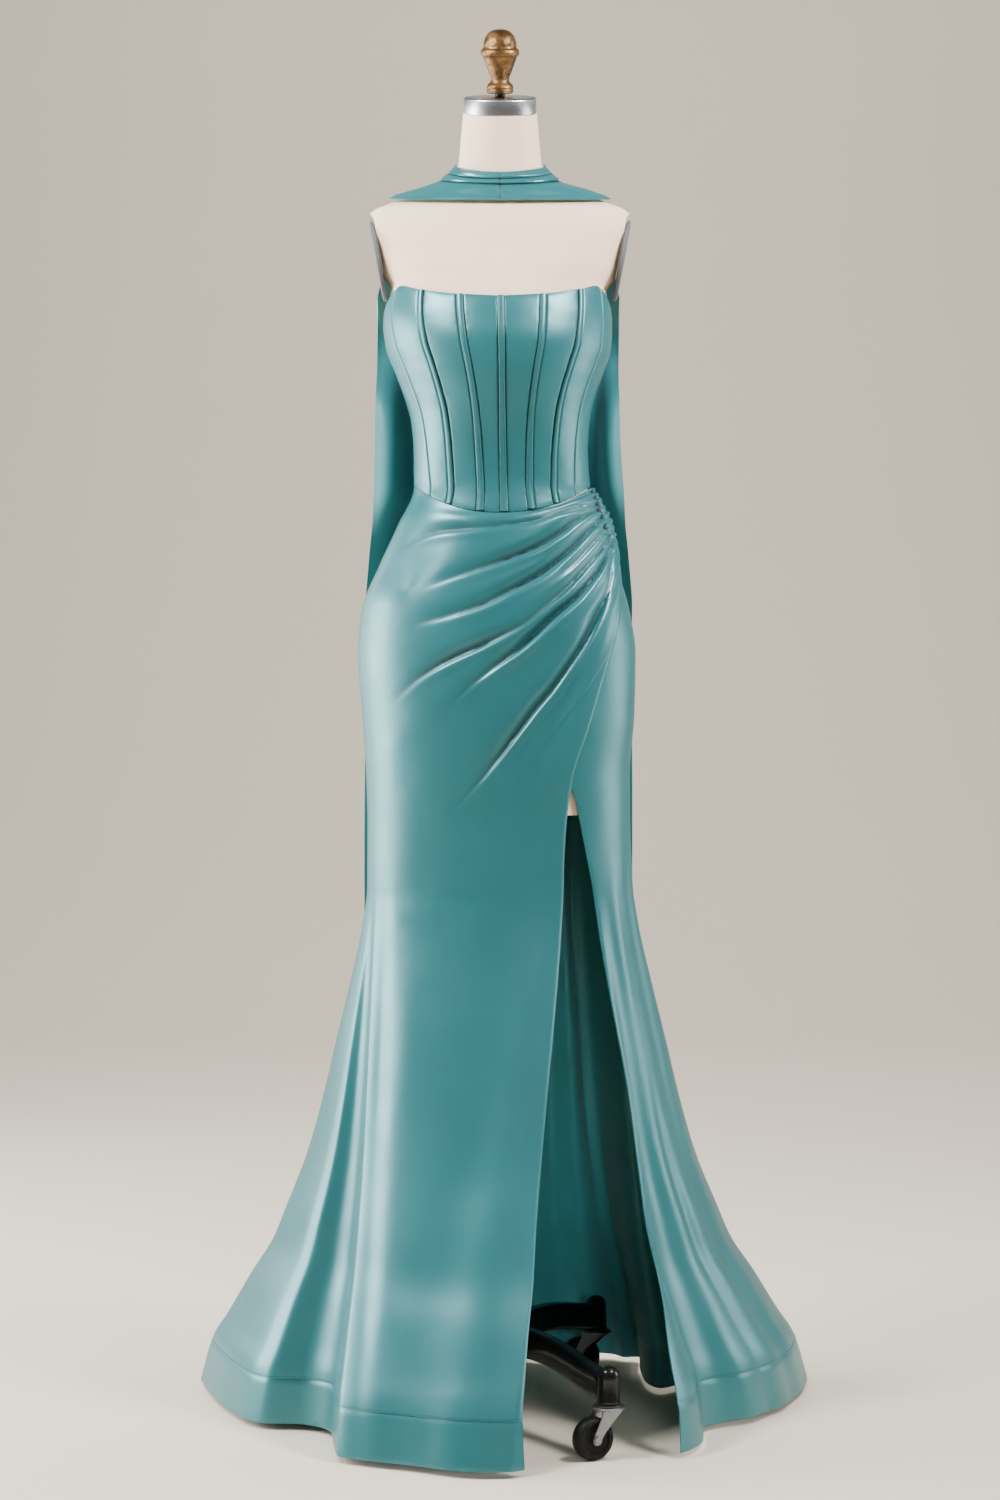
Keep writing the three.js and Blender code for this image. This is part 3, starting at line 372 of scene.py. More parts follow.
def crease_relief(points, sharp):
    """The creases of the drape, each sinking slowly from above and rising sharply below.

    Also the painted shadow on each point: a dark band above each crease and a thin one below it.
    """
    lift, hollow = np.zeros(points.shape[:-1]), np.zeros(points.shape[:-1])
    for rows in CREASES:
        knots = np.array(rows)
        at = np.linspace(0, len(knots) - 1, (len(knots) - 1) * 12 + 1)
        turn, z, depth = (track(np.stack([np.arange(len(knots)), knots[:, k]], 1), 1)(at) for k in range(3))
        line = body_point(turn, z)
        down = np.cross(np.gradient(line, axis=0), outward(body_point, turn, z))
        down /= np.linalg.norm(down, axis=1, keepdims=True)
        down *= -np.sign(down[:, 2:])
        flat = points.reshape(-1, 3)
        close = np.flatnonzero((flat[:, 2] > z.min() - 60) & (flat[:, 2] < z.max() + 60))
        gap = flat[close, None, :] - line[None]
        away = np.linalg.norm(gap, axis=2)
        nearest = away.argmin(1)
        pick = (np.arange(len(close)), nearest)
        side = (gap[pick] * down[nearest]).sum(1)
        wide = mix(0.45, 1.25, smooth(0, 110, run_lengths(line, 0)[nearest]))
        above = np.exp(-((away[pick] / (CREASE_ABOVE * wide)) ** 2))
        below = np.exp(-((away[pick] / (CREASE_BELOW * mix(1, wide, 0.6) * 3.6 / sharp)) ** 2))
        roll = np.exp(-(((away[pick] - 6 * wide) / (4 * wide)) ** 2))
        along = run_lengths(line, 0) / run_lengths(line, 0)[-1]
        fade = 1 - 0.75 * smooth(0.68, 1, along[nearest])
        step = 1.6 * fade * np.where(side < 0, above, below - 0.14 * roll)
        lift.reshape(-1)[close] -= depth[nearest] * step
        # Painted shadow: the satin's colour darkens in a band above each crease and a thin line below it
        shadow_above = np.exp(-((away[pick] / (4.2 * wide)) ** 2))
        shadow_below = np.exp(-((away[pick] / 0.9) ** 2))
        shadow = np.where(side < 0, shadow_above, shadow_below)
        hollow.reshape(-1)[close] += np.minimum(0.24 * depth[nearest], 0.85) * shadow
    return lift, hollow


def mesh_piece(name, points, faces, uv=None):
    mesh = bpy.data.meshes.new(name)
    mesh.from_pydata((points * MM).tolist(), [], faces.tolist())
    if uv is not None:
        layer = mesh.uv_layers.new(name="cloth")
        corner = np.zeros(len(mesh.loops), int)
        mesh.loops.foreach_get("vertex_index", corner)
        layer.data.foreach_set("uv", uv[corner].ravel())
    mesh.validate()
    piece = bpy.data.objects.new(name, mesh)
    bpy.context.scene.collection.objects.link(piece)
    return piece


def soften(piece, degrees=50):
    bpy.ops.object.select_all(action="DESELECT")
    piece.select_set(True)
    bpy.context.view_layer.objects.active = piece
    bpy.ops.object.shade_smooth_by_angle(angle=math.radians(degrees))
    piece.select_set(False)


def run_lengths(points, axis):
    steps = np.linalg.norm(np.diff(points, axis=axis), axis=-1)
    return np.insert(np.cumsum(steps, axis=axis), 0, 0, axis=axis)


def cloth_wall(name, outer, inner, hollow=None):
    """A closed wall of cloth between two faces of points, with its weave's directions as a UV map in metres.

    Its inner face takes the second material. A point attribute holds the painted shade that darkens
    the satin's colour in creases, seams and holes.
    """
    rows, columns = outer.shape[:2]
    count = rows * columns
    index = np.arange(count).reshape(rows, columns)
    corners = [index[:-1, :-1], index[:-1, 1:], index[1:, 1:], index[1:, :-1]]
    front = np.stack(corners, -1).reshape(-1, 4)
    rim = np.concatenate([index[0, :-1], index[:-1, -1], index[-1, :0:-1], index[:0:-1, 0]])
    following = np.roll(rim, -1)
    side = np.stack([rim, rim + count, following + count, following], -1)
    faces = np.concatenate([front, front[:, ::-1] + count, side])
    across = run_lengths(outer, 1) - run_lengths(outer, 1)[:, columns // 2][:, None]
    uv = np.stack([across, run_lengths(outer, 0)], -1).reshape(-1, 2) * MM
    points = np.concatenate([outer.reshape(-1, 3), inner.reshape(-1, 3)])
    piece = mesh_piece(name, points, faces, np.tile(uv, (2, 1)))
    # The painted shade, kept as a point attribute that the satin's finish reads
    piece.data.attributes.new("hollow", "FLOAT", "POINT")
    if hollow is not None:
        piece.data.attributes["hollow"].data.foreach_set("value", np.tile(np.clip(hollow, 0, 1).ravel(), 2))
    inside = np.zeros(len(faces), int)
    inside[len(front) : 2 * len(front)] = 1
    piece.data.polygons.foreach_set("material_index", inside)
    settings = settings_now()
    piece.data.materials.append(finish("satin", settings))
    piece.data.materials.append(finish("lining", settings))
    soften(piece)
    return piece


def sewn(name, turn, z, lift, thick, surface=body_point, hollow=None):
    """A panel of cloth on a surface, lifted off it point by point."""
    base, normal = surface(turn, z), outward(surface, turn, z)
    outer = base + normal * lift[..., None]
    return cloth_wall(name, outer, outer - normal * thick, hollow), outer


def declare(piece, node):
    place_on(piece, "root", "satin", node)


def place_on(piece, body, slot, *nodes):
    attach(piece, body)
    if nodes:
        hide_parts(*nodes)


def stitches(line, normal, pitch, size):
    """Running stitches along a line: thread that comes up and goes down once each pitch."""
    length = run_lengths(line, 0)
    steps = max(4, int(length[-1] / pitch)) * 4
    at = np.linspace(0, length[-1], steps + 1)
    spots = np.stack([np.interp(at, length, line[:, k]) for k in range(3)], -1)
    up = np.stack([np.interp(at, length, normal[:, k]) for k in range(3)], -1)
    ahead = np.gradient(spots, axis=0)
    side = np.cross(up, ahead)
    side /= np.linalg.norm(side, axis=-1, keepdims=True)
    rise = size * np.array([-0.5, 0.75, 0.95, 0.75])[np.arange(steps + 1) % 4]
    middle = spots + up * rise[:, None]
    corner = [(1, 0), (0, 1), (-1, 0), (0, -1)]
    tube = np.stack([middle + side * size * a + up * size * 0.6 * b for a, b in corner], 1)
    index = np.arange((steps + 1) * 4).reshape(-1, 4)
    ahead_of = np.roll(index, -1, 1)
    faces = np.stack([index[:-1], index[1:], ahead_of[1:], ahead_of[:-1]], -1).reshape(-1, 4)
    caps = np.array([index[0], index[-1][::-1]])
    return tube.reshape(-1, 3), np.concatenate([faces, caps])


def thread_piece(name, runs, settings):
    """Joins runs of stitches, each (line, normal), into one piece of thread."""
    points, faces, count = [], [], 0
    for line, normal in runs:
        more, sides = stitches(line, normal, settings.stitch_length / MM, settings.thread_size / MM)
        points.append(more)
        faces.append(sides + count)
        count += len(more)
    piece = mesh_piece(name, np.concatenate(points), np.concatenate(faces))
    piece.data.materials.append(finish("thread", settings))
    place_on(piece, "root", "satin")
    return piece


def surface_line(turn, z, lift, surface=body_point):
    turn, z = np.broadcast_arrays(np.asarray(turn, float), np.asarray(z, float))
    normal = outward(surface, turn, z)
    return surface(turn, z) + normal * np.asarray(lift)[..., None], normal


# Finishes


def node_tree(name):
    material = bpy.data.materials.new(name)
    material.use_nodes = True
    tree = material.node_tree
    return material, tree, tree.nodes["Principled BSDF"]


def add(tree, kind, **values):
    node = tree.nodes.new(kind)
    for key, value in values.items():
        if key in node.inputs:
            node.inputs[key].default_value = value
        else:
            setattr(node, key, value)
    return node


def coords(tree, scale, source="Object", turned=(0, 0, 0)):
    place = add(tree, "ShaderNodeTexCoord")
    stretch = add(tree, "ShaderNodeMapping")
    stretch.inputs["Scale"].default_value = scale
    stretch.inputs["Rotation"].default_value = turned
    tree.links.new(place.outputs[source], stretch.inputs["Vector"])
    return stretch.outputs["Vector"]


def noise(tree, scale, stretch=(1, 1, 1), source="Object", detail=3.0, rough=0.55):
    node = add(tree, "ShaderNodeTexNoise", Scale=scale, Detail=detail, Roughness=rough)
    tree.links.new(coords(tree, stretch, source), node.inputs["Vector"])
    return node.outputs["Fac"]


def between(tree, factor, low, high):
    spread = add(tree, "ShaderNodeMapRange")
    spread.inputs["From Min"].default_value = 0.3
    spread.inputs["From Max"].default_value = 0.7
    spread.inputs["To Min"].default_value = low
    spread.inputs["To Max"].default_value = high
    tree.links.new(factor, spread.inputs["Value"])
    return spread.outputs["Result"]


def two_tones(tree, factor, dark, light):
    blend = add(tree, "ShaderNodeMix", data_type="RGBA")
    blend.inputs["A"].default_value = (*dark, 1)
    blend.inputs["B"].default_value = (*light, 1)
    tree.links.new(factor, blend.inputs["Factor"])
    return blend.outputs["Result"]


# How much painted shade a point has, read from the mesh's attribute
def painted_shade_amount(tree):
    return add(tree, "ShaderNodeAttribute", attribute_name="hollow").outputs["Fac"]


def with_painted_shade(tree, base, dark):
    """Painted shade: darkens a colour in the creases, seams and holes, where the cloth would reflect only
    itself.
    """
    blend = add(tree, "ShaderNodeMix", data_type="RGBA")
    blend.inputs["B"].default_value = (*dark, 1)
    tree.links.new(base, blend.inputs["A"])
    tree.links.new(painted_shade_amount(tree), blend.inputs["Factor"])
    return blend.outputs["Result"]


def bumps(tree, shader, layers):
    """Layers of relief, each (height, strength, distance in metres), the first under the next."""
    normal = None
    for height, strength, distance in layers:
        bump = add(tree, "ShaderNodeBump", Strength=strength, Distance=distance)
        tree.links.new(height, bump.inputs["Height"])
        if normal is not None:
            tree.links.new(normal, bump.inputs["Normal"])
        normal = bump.outputs["Normal"]
    tree.links.new(normal, shader.inputs["Normal"])


def shade(colour, by):
    return tuple(min(1.0, c * by) for c in colour)


# Sockets that are the same all over each finish, and its range of roughness
GLOSS = {
    "satin": dict(metal=0.3, rough=(0.33, 0.39), Anisotropic=0.3, **{"Specular IOR Level": 0.7}),
    "lining": dict(metal=0.0, rough=(0.5, 0.6), **{"Sheen Weight": 0.1}),
    "thread": dict(metal=0.0, rough=(0.6, 0.7), **{"Specular IOR Level": 0.2}),
    "form": dict(metal=0.0, rough=(0.8, 0.9), **{"Sheen Weight": 0.25, "Specular IOR Level": 0.3}),
    "plate": dict(metal=0.1, rough=(0.5, 0.65)),
    "steel": dict(metal=1.0, rough=(0.27, 0.3), Anisotropic=0.7),
    "brass": dict(metal=0.85, rough=(0.36, 0.55)),
    "paint": dict(
        metal=0.0, rough=(0.5, 0.56),
        **{"Coat Weight": 0.6, "Coat Roughness": 0.14, "Specular IOR Level": 0.1},
    ),
    "zinc": dict(metal=1.0, rough=(0.26, 0.4)),
    "rubber": dict(metal=0.0, rough=(0.5, 0.65), **{"Specular IOR Level": 0.25}),
}


def finish(kind, settings):
    """The named finish, made once."""
    name = kind + "_finish"
    if name in bpy.data.materials:
        return bpy.data.materials[name]
    material, tree, shader = node_tree(name)
    gloss = dict(GLOSS[kind])
    shader.inputs["Metallic"].default_value = gloss.pop("metal")
    low, high = gloss.pop("rough")
    for socket, value in gloss.items():
        shader.inputs[socket].default_value = value
    colour = tuple(getattr(settings, FINISH_COLOURS[kind]))
    patch = {"form": 9, "brass": 60, "steel": 30, "paint": 40, "rubber": 50}.get(kind, 7)
    cloudy = noise(tree, patch)
    spread = {"brass": (0.42, 1.35), "form": (0.95, 1.04), "steel": (0.97, 1.02)}.get(kind, (0.93, 1.06))
    tone = between(tree, cloudy, 0, 1)
    base = two_tones(tree, tone, shade(colour, spread[0]), shade(colour, spread[1]))
    # Painted shade: the satin's colour sinks towards a dark teal in creases, seams and holes
    if kind == "satin":
        base = with_painted_shade(tree, base, shade(colour, 0.1))
    tree.links.new(base, shader.inputs["Base Color"])
    rough = between(tree, noise(tree, patch * 3.1, detail=2.0), low, high)
    if kind == "satin":
        duller = add(tree, "ShaderNodeMath", operation="MULTIPLY_ADD")
        duller.inputs[1].default_value = 0.4
        tree.links.new(painted_shade_amount(tree), duller.inputs[0])
        tree.links.new(rough, duller.inputs[2])
        rough = duller.outputs["Value"]
    tree.links.new(rough, shader.inputs["Roughness"])
    bumps(tree, shader, RELIEF[kind](tree))
    return material


FINISH_COLOURS = {
    "satin": "satin_colour", "lining": "lining_colour", "thread": "thread_colour",
    "form": "form_colour", "plate": "plate_colour", "steel": "steel_colour",
    "brass": "brass_colour", "paint": "paint_colour", "zinc": "zinc_colour",
    "rubber": "rubber_colour",
}
RELIEF = {
    "satin": lambda tree: [
        (noise(tree, 26, (1, 1, 0.35), detail=2.0), 0.10, 0.004),
        (noise(tree, 1, (260, 2600, 1), "UV", detail=1.0), 0.10, 0.00012),
    ],
    "lining": lambda tree: [(noise(tree, 1, (1500, 1500, 1), "UV", detail=1.0), 0.12, 0.00012)],
    "thread": lambda tree: [(noise(tree, 2400, detail=1.0), 0.3, 0.0002)],
    "form": lambda tree: [
        (noise(tree, 40, detail=2.0), 0.06, 0.002),
        (noise(tree, 900, (1, 1, 0.5), detail=2.0), 0.16, 0.0003),
    ],
    "plate": lambda tree: [(noise(tree, 420, detail=2.0), 0.15, 0.0003)],
    "steel": lambda tree: [(noise(tree, 30, (1, 1, 70), detail=2.0), 0.12, 0.0002)],
    "brass": lambda tree: [
        (noise(tree, 190, detail=1.0, rough=0.4), 0.55, 0.0016),
        (noise(tree, 700, detail=3.0), 0.2, 0.0004),
    ],
    "paint": lambda tree: [(noise(tree, 90, detail=1.0), 0.04, 0.0004)],
    "zinc": lambda tree: [(noise(tree, 320, detail=3.0), 0.14, 0.0003)],
    "rubber": lambda tree: [(noise(tree, 500, detail=2.0), 0.2, 0.0003)],
}


# Sizes and colours


def colour_property(name, description, rgb):
    return bpy.props.FloatVectorProperty(
        name=name, description=description, subtype="COLOR", size=3, min=0, max=1, default=linear(*rgb)
    )


def length_property(name, description, metres):
    return bpy.props.FloatProperty(
        name=name, description=description, unit="LENGTH", min=0.0001, soft_max=metres * 5,
        precision=4, default=metres,
    )


class GownSettings(bpy.types.PropertyGroup):
    satin_colour: colour_property("Satin", "Colour of the gown's satin", (39, 111, 117))
    lining_colour: colour_property("Lining", "Colour of the gown's inner face", (46, 124, 128))
    thread_colour: colour_property("Thread", "Colour of the sewing thread", (36, 98, 98))
    form_colour: colour_property("Form cloth", "Colour of the jersey on the dress form", (244, 213, 186))
    plate_colour: colour_property("Arm plates", "Colour of the plates that close the armholes", (92, 94, 98))
    steel_colour: colour_property("Neck cap", "Colour of the brushed steel cap", (190, 192, 196))
    brass_colour: colour_property("Finial", "Colour of the aged brass knob", (118, 88, 54))
    paint_colour: colour_property("Stand", "Colour of the stand's gloss paint", (9, 9, 10))
    zinc_colour: colour_property("Caster forks", "Colour of the plated forks", (138, 140, 144))
    rubber_colour: colour_property("Caster wheels", "Colour of the wheels", (8, 8, 9))
    floor_colour: colour_property("Floor", "Colour of the floor and backdrop", (232, 220, 201))
    skirt_cloth: length_property("Skirt cloth", "Thickness of the skirt's satin with its lining", 0.0015)
    bodice_cloth: length_property("Bodice cloth", "Thickness of the bodice's layers", 0.002)
    scarf_cloth: length_property("Scarf cloth", "Thickness of the scarf", 0.0015)
    stitch_length: length_property("Stitch length", "Length of one stitch", 0.0034)
    thread_size: length_property("Thread", "Half the thickness of the sewing thread", 0.0003)
    crease_edge: bpy.props.FloatProperty(
        name="Crease sharpness", description="How sharp the creases between the draped folds are",
        min=1.2, max=8, default=3.6,
    )


def settings_now():
    return bpy.context.scene.mermaid_gown


# Gown


def finer(values, steps):
    """The same values with that many steps between each two of them."""
    places = np.arange((len(values) - 1) * steps + 1) / steps
    return np.interp(places, np.arange(len(values)), values)


class OBJECT_OT_gown_wrap(bpy.types.Operator):
    """Drapes the front wrap panel from the hip gathers"""

    bl_idname = "object.gown_wrap"
    bl_label = "Draped wrap panel"

    def execute(self, context):
        settings = settings_now()
        thick = settings.skirt_cloth / MM
        columns = finer(WRAP_COLUMNS, WRAP_STEPS)
        across = (columns - columns[0]) / (columns[-1] - columns[0])
        line = self.rows()
        table = [(k, *row) for k, row in enumerate(DRAPE)]
        gathered, seam = track(table, 1)(line), track(table, 2)(line)
        u, q = np.meshgrid(across, line)
        away = 1 - u
        flat = mix(seam[:, None], gathered[:, None], u)
        turn = mix(-90 + 0.05, wrap_edge(gathered)[:, None] - 0.05, u)
        pull = np.maximum(0, 1 - q / WAIST_LINE_FADE)
        waist_line = waist_height(turn) - mix(WAIST_SIDE, DRAPE[0][0], u)
        top_row = (q == 0) * (SEAM_GAP / 2 + flat - WAIST_SIDE)
        z = flat + pull * waist_line - top_row
        lift = self.drape(q, away)
        inside = wrap_edge(z) - turn
        lift += WRAP_LIFT * smooth(18, 7, inside) * smooth(740, 830, z)
        base = body_point(turn, z)
        lift += folds(WRAP_FOLDS, base, turn, z)
        creased, hollow = crease_relief(base, settings.crease_edge)
        lift += creased
        lift += self.gathers(turn, z, base, away, hollow)
        full = smooth(0, 3, q) * (1 - smooth(12, 17, q))
        lift += FOLD_FULLNESS * full * smooth(-0.1, 0.1, away) * (1 - smooth(0.62, 0.95, away))
        deepest = thick + 0.5 - form_inset(z)
        lift = deepest + np.logaddexp(0, 2.2 * (lift - deepest)) / 2.2
        edge = np.linalg.norm(base - body_point(wrap_edge(z), z), axis=-1)
        lift -= 1.3 * np.exp(-((edge / 2.2) ** 2)) * smooth(0.2, 0.02, away)
        # Painted shade along the wrap panel's free edge above the slit
        hollow += 0.5 * np.exp(-((edge / 1.2) ** 2)) * (z > 790)
        piece, outer = sewn("wrap_panel", turn, z, lift, thick, hollow=hollow)
        declare(piece, "skirt_wrap_panel")
        return {"FINISHED"}

    def rows(self):
        """Places of the mesh's rows along the drape table, close together where the creases are."""
        places = [0.0]
        for k, (above, below) in enumerate(zip(DRAPE, DRAPE[1:])):
            drop = max(above[0] - below[0], above[1] - below[1])
            count = max(4, round(drop / (ROW_CREASED if k < CREASED_ROWS else ROW_PLAIN)))
            places += list(k + np.arange(1, count + 1) / count)
        return np.array(places)[::-1]

    def drape(self, q, away):
        lift = np.zeros(q.shape)
        for k in range(len(DRAPE) - 1):
            here = (q >= k) & (q <= k + 1) if k == 0 else (q > k) & (q <= k + 1)
            (_, _, rise_a, reach_a), (_, _, rise_b, reach_b) = DRAPE[k], DRAPE[k + 1]
            t = q - k
            if rise_b > rise_a:
                low, high, reach, toward = rise_a, rise_b, reach_b, t
            else:
                low, high, reach, toward = rise_b, rise_a, reach_a, 1 - t
            round_top = smooth(0, 1, toward)
            swell = 0.14 * smooth(-0.1, 0.3, away) * (1 - smooth(reach - 0.4, reach, away))
            lift = np.where(here, (low + (high - low) * round_top) * swell, lift)
        return lift

    def gathers(self, turn, z, base, away, hollow):
        """Small tucks that fan out of the gathers, and the thread holes between them, with painted shade in
        the holes.
        """
        near = smooth(0.22, 0.04, away) * smooth(1080, 1098, z) * smooth(1160, 1152, z)
        lift = near * (0.6 + 1.1 * np.sin(z * 0.74 + 26 * away))
        for hole_turn, hole_z, radius, depth in GATHER_HOLES:
            spot = body_point(np.array(float(hole_turn)), np.array(float(hole_z)))
            gap = np.linalg.norm((base - spot) * (0.55, 0.55, 1), axis=-1)
            lift -= depth * np.exp(-((gap / radius) ** 2))
            # Painted shade fills each hole
            hollow += 1.6 * np.exp(-((gap / radius) ** 2))
        return lift


def fine_heights(heights, step=9.0):
    rows = [heights[0]]
    for low, high in zip(heights, heights[1:]):
        count = max(1, round((high - low) / step))
        rows += list(np.linspace(low, high, count + 1)[1:])
    return np.array(rows)


class OBJECT_OT_gown_skirt(bpy.types.Operator):
    """Makes the side and back panels of the skirt"""

    bl_idname = "object.gown_skirt"
    bl_label = "Side and back panels"

    def execute(self, context):
        settings = settings_now()
        thick = settings.skirt_cloth / MM
        z = fine_heights([*SKIRT_HEIGHTS, 760, 860, 955, 1035, SIDE_PANEL_TOP])[:, None]
        u = np.linspace(0, 1, 71)[None, :]
        tucked = wrap_edge(z) - WRAP_UNDERLAP
        front = mix(slit_edge(z), tucked, smooth(775, 800, z))
        turn = mix(front, 90 - 0.06, u)
        z = z + 0 * turn
        base = body_point(turn, z)
        edge = np.linalg.norm(base - body_point(front + 0 * turn, z), axis=-1)
        lift = folds(SIDE_FOLDS, base, turn, z) * smooth(880, 800, z)
        lift -= 1.0 * np.exp(-((edge / 2) ** 2)) * (z < 790)
        lift -= 0.7 * np.exp(-((np.linalg.norm(base - body_point(90 + 0 * turn, z), axis=-1) / 2.5) ** 2))
        piece, outer = sewn("side_panel", turn, z, lift, thick)
        declare(piece, "skirt_side_panel")
        for name, start, end in (("back_right", 90, 180), ("back_left", 180, 270)):
            self.back_panel(name, start, end, thick, settings)
        return {"FINISHED"}

    def back_panel(self, name, start, end, thick, settings):
        heights = fine_heights([*SKIRT_HEIGHTS, 740, 840, 920, 985, 1040, 1085, 1122, WAIST_SIDE])[:, None]
        turn = np.linspace(start + 0.06, end - 0.06, 111)[None, :] + 0 * heights
        rise = smooth(1100, WAIST_SIDE, heights) * (waist_height(turn) - WAIST_SIDE - SEAM_GAP / 2)
        z = heights + rise
        base = body_point(turn, z)
        fade = smooth(WAIST_SIDE - 8, 1110, z)
        lift = folds(BACK_FOLDS, base, turn, z) * fade
        for seam in (start, end):
            away = np.linalg.norm(base - body_point(seam + 0 * turn, z), axis=-1)
            lift -= 0.7 * np.exp(-((away / 2.5) ** 2))
        piece, outer = sewn(name + "_panel", turn, z, lift, thick)
        declare(piece, "skirt_" + name)


def upright(turn):
    """A panel's edge that stays at one turn at every height."""
    return lambda z: turn + 0 * z


class OBJECT_OT_gown_hem(bpy.types.Operator):
    """Makes the deep hem bands and the stitching above them"""

    bl_idname = "object.gown_hem"
    bl_label = "Hem bands"

    def execute(self, context):
        settings = settings_now()
        thick = settings.skirt_cloth / MM
        top = HEM_HEIGHT + HEM_BAND - SEAM_GAP / 2
        shares = (np.array(WRAP_COLUMNS) - WRAP_COLUMNS[0]) / (WRAP_COLUMNS[-1] - WRAP_COLUMNS[0])
        front, side, back = finer(shares, HEM_STEPS), np.linspace(0, 1, 71), np.linspace(0, 1, 111)
        bands = [
            ("hem_band_front", "skirt_wrap_panel", upright(-90), wrap_edge, front, WRAP_FOLDS),
            ("hem_band_side", "skirt_side_panel", slit_edge, upright(90), side, SIDE_FOLDS),
            ("hem_band_back_right", "skirt_back_right", upright(90), upright(180), back, BACK_FOLDS),
            ("hem_band_back_left", "skirt_back_left", upright(180), upright(270), back, BACK_FOLDS),
        ]
        runs = []
        for name, panel, first, last, across, table in bands:
            z = np.linspace(HEM_HEIGHT, top, 15)[:, None]
            turn = mix(first(z) + 0.05, last(z) - 0.05, across[None, :])
            z = z + 0 * turn
            base = body_point(turn, z)
            lift = folds(table, base, turn, z) - 0.9 * np.exp(-(((z - top) / 1.6) ** 2))
            lift -= 0.8 * np.exp(-(((z - HEM_HEIGHT) / 2.0) ** 2))
            piece, outer = sewn(name + "_satin", turn, z, lift, thick)
            declare(piece, name)
            level = np.full(across.shape, top + HEM_STITCH)
            spin = mix(first(level) + 0.1, last(level) - 0.1, across)
            spots = body_point(spin, level)
            runs.append(surface_line(spin, level, folds(table, spots, spin, level) + 0.1))
        thread_piece("hem_stitching", runs, settings)
        return {"FINISHED"}


class OBJECT_OT_gown_bodice(bpy.types.Operator):
    """Makes the twelve bodice panels, the five bone channels and their double stitching"""

    bl_idname = "object.gown_bodice"
    bl_label = "Boned bodice"

    def execute(self, context):
        settings = settings_now()
        thick = settings.bodice_cloth / MM
        runs = []
        for k, name in enumerate(BODICE_PANELS):
            first, second = BODICE_SEAMS[k], BODICE_SEAMS[k + 1]
            u = np.linspace(0, 1, 49)[None, :]
            v = np.linspace(0, 1, 81)[:, None]
            guess = mix(first[1], second[1], u)
            z = mix(waist_height(guess) + SEAM_GAP / 2, top_edge(guess), v)
            turn = mix(self.seam_turn(first, z) + 0.08, self.seam_turn(second, z) - 0.08, u)
            z = z + (1 - v) * (waist_height(turn) - waist_height(guess))
            base = body_point(turn, z)
            lift, hollow = np.zeros(turn.shape), np.zeros(turn.shape)
            for seam in (first, second):
                away = np.linalg.norm(base - body_point(self.seam_turn(seam, z), z), axis=-1)
                groove = away - (CHANNEL_HALF + 0.5 if seam[3] else 0)
                lift -= 1.3 * np.exp(-((groove / 1.3) ** 2))
                # Painted shade in the groove at each seam, or beside its channel
                hollow += 0.75 * np.exp(-((groove / 1.0) ** 2))
                lift += self.pucker(z, away, seam[1])
            rim = top_edge(turn) - z
            lift -= 0.8 * np.exp(-((rim / 2.2) ** 2))
            lift -= 0.6 * np.exp(-(((z - waist_height(turn)) / 2.0) ** 2))
            piece, outer = sewn(name + "_satin", turn, z, lift, thick, hollow=hollow)
            declare(piece, name)
        for seam in BODICE_SEAMS:
            if seam[3]:
                runs += self.channel(seam, settings)
        thread_piece("bodice_stitching", runs, settings)
        return {"FINISHED"}

    def seam_turn(self, seam, z):
        down = np.clip((SEAM_TOP - z) / (SEAM_TOP - SEAM_FOOT), 0, 1)
        return mix(seam[1], seam[2], down ** 1.5 if abs(seam[1]) > 60 else down)

    def pucker(self, z, away, phase):
        """Faint ripples that sewing pulls into the satin beside a seam."""
        ripple = np.sin(z * 0.42 + phase) * np.sin(z * 0.171 + 2 * phase) + 0.5 * np.sin(z * 0.093 + phase)
        return 0.22 * ripple * np.exp(-(((away - 6) / 4.5) ** 2))

    def channel(self, seam, settings):
        v = np.linspace(0, 1, 81)[:, None]
        z = mix(waist_height(seam[2]) + 1, top_edge(seam[1]) - 0.5, v)
        middle = self.seam_turn(seam, z)
        radius = np.linalg.norm(body_point(middle, z)[..., :2], axis=-1)
        u = np.linspace(-1, 1, 13)[None, :]
        half = np.degrees(CHANNEL_HALF / radius)
        turn = middle + half * u
        z = z + 0 * turn
        lift = CHANNEL_LIFT * (0.25 + 0.75 * (1 - np.abs(u) ** 3)) + 0.15 * np.cos(3 * u) + 0 * z
        # Painted shade along both edges of the channel
        hollow = 0.7 * smooth(0.72, 1, np.abs(u)) + 0 * z
        piece, outer = sewn("channel_" + seam[0], turn, z, lift, CHANNEL_WALL, hollow=hollow)
        declare(piece, "bone_channel_" + seam[0])
        rows = []
        for side in (-1, 1):
            spin = (middle + side * np.degrees(CHANNEL_STITCH / radius))[:, 0]
            rows.append(surface_line(spin, z[:, 0], np.full(len(spin), CHANNEL_LIFT + 0.05)))
        return rows


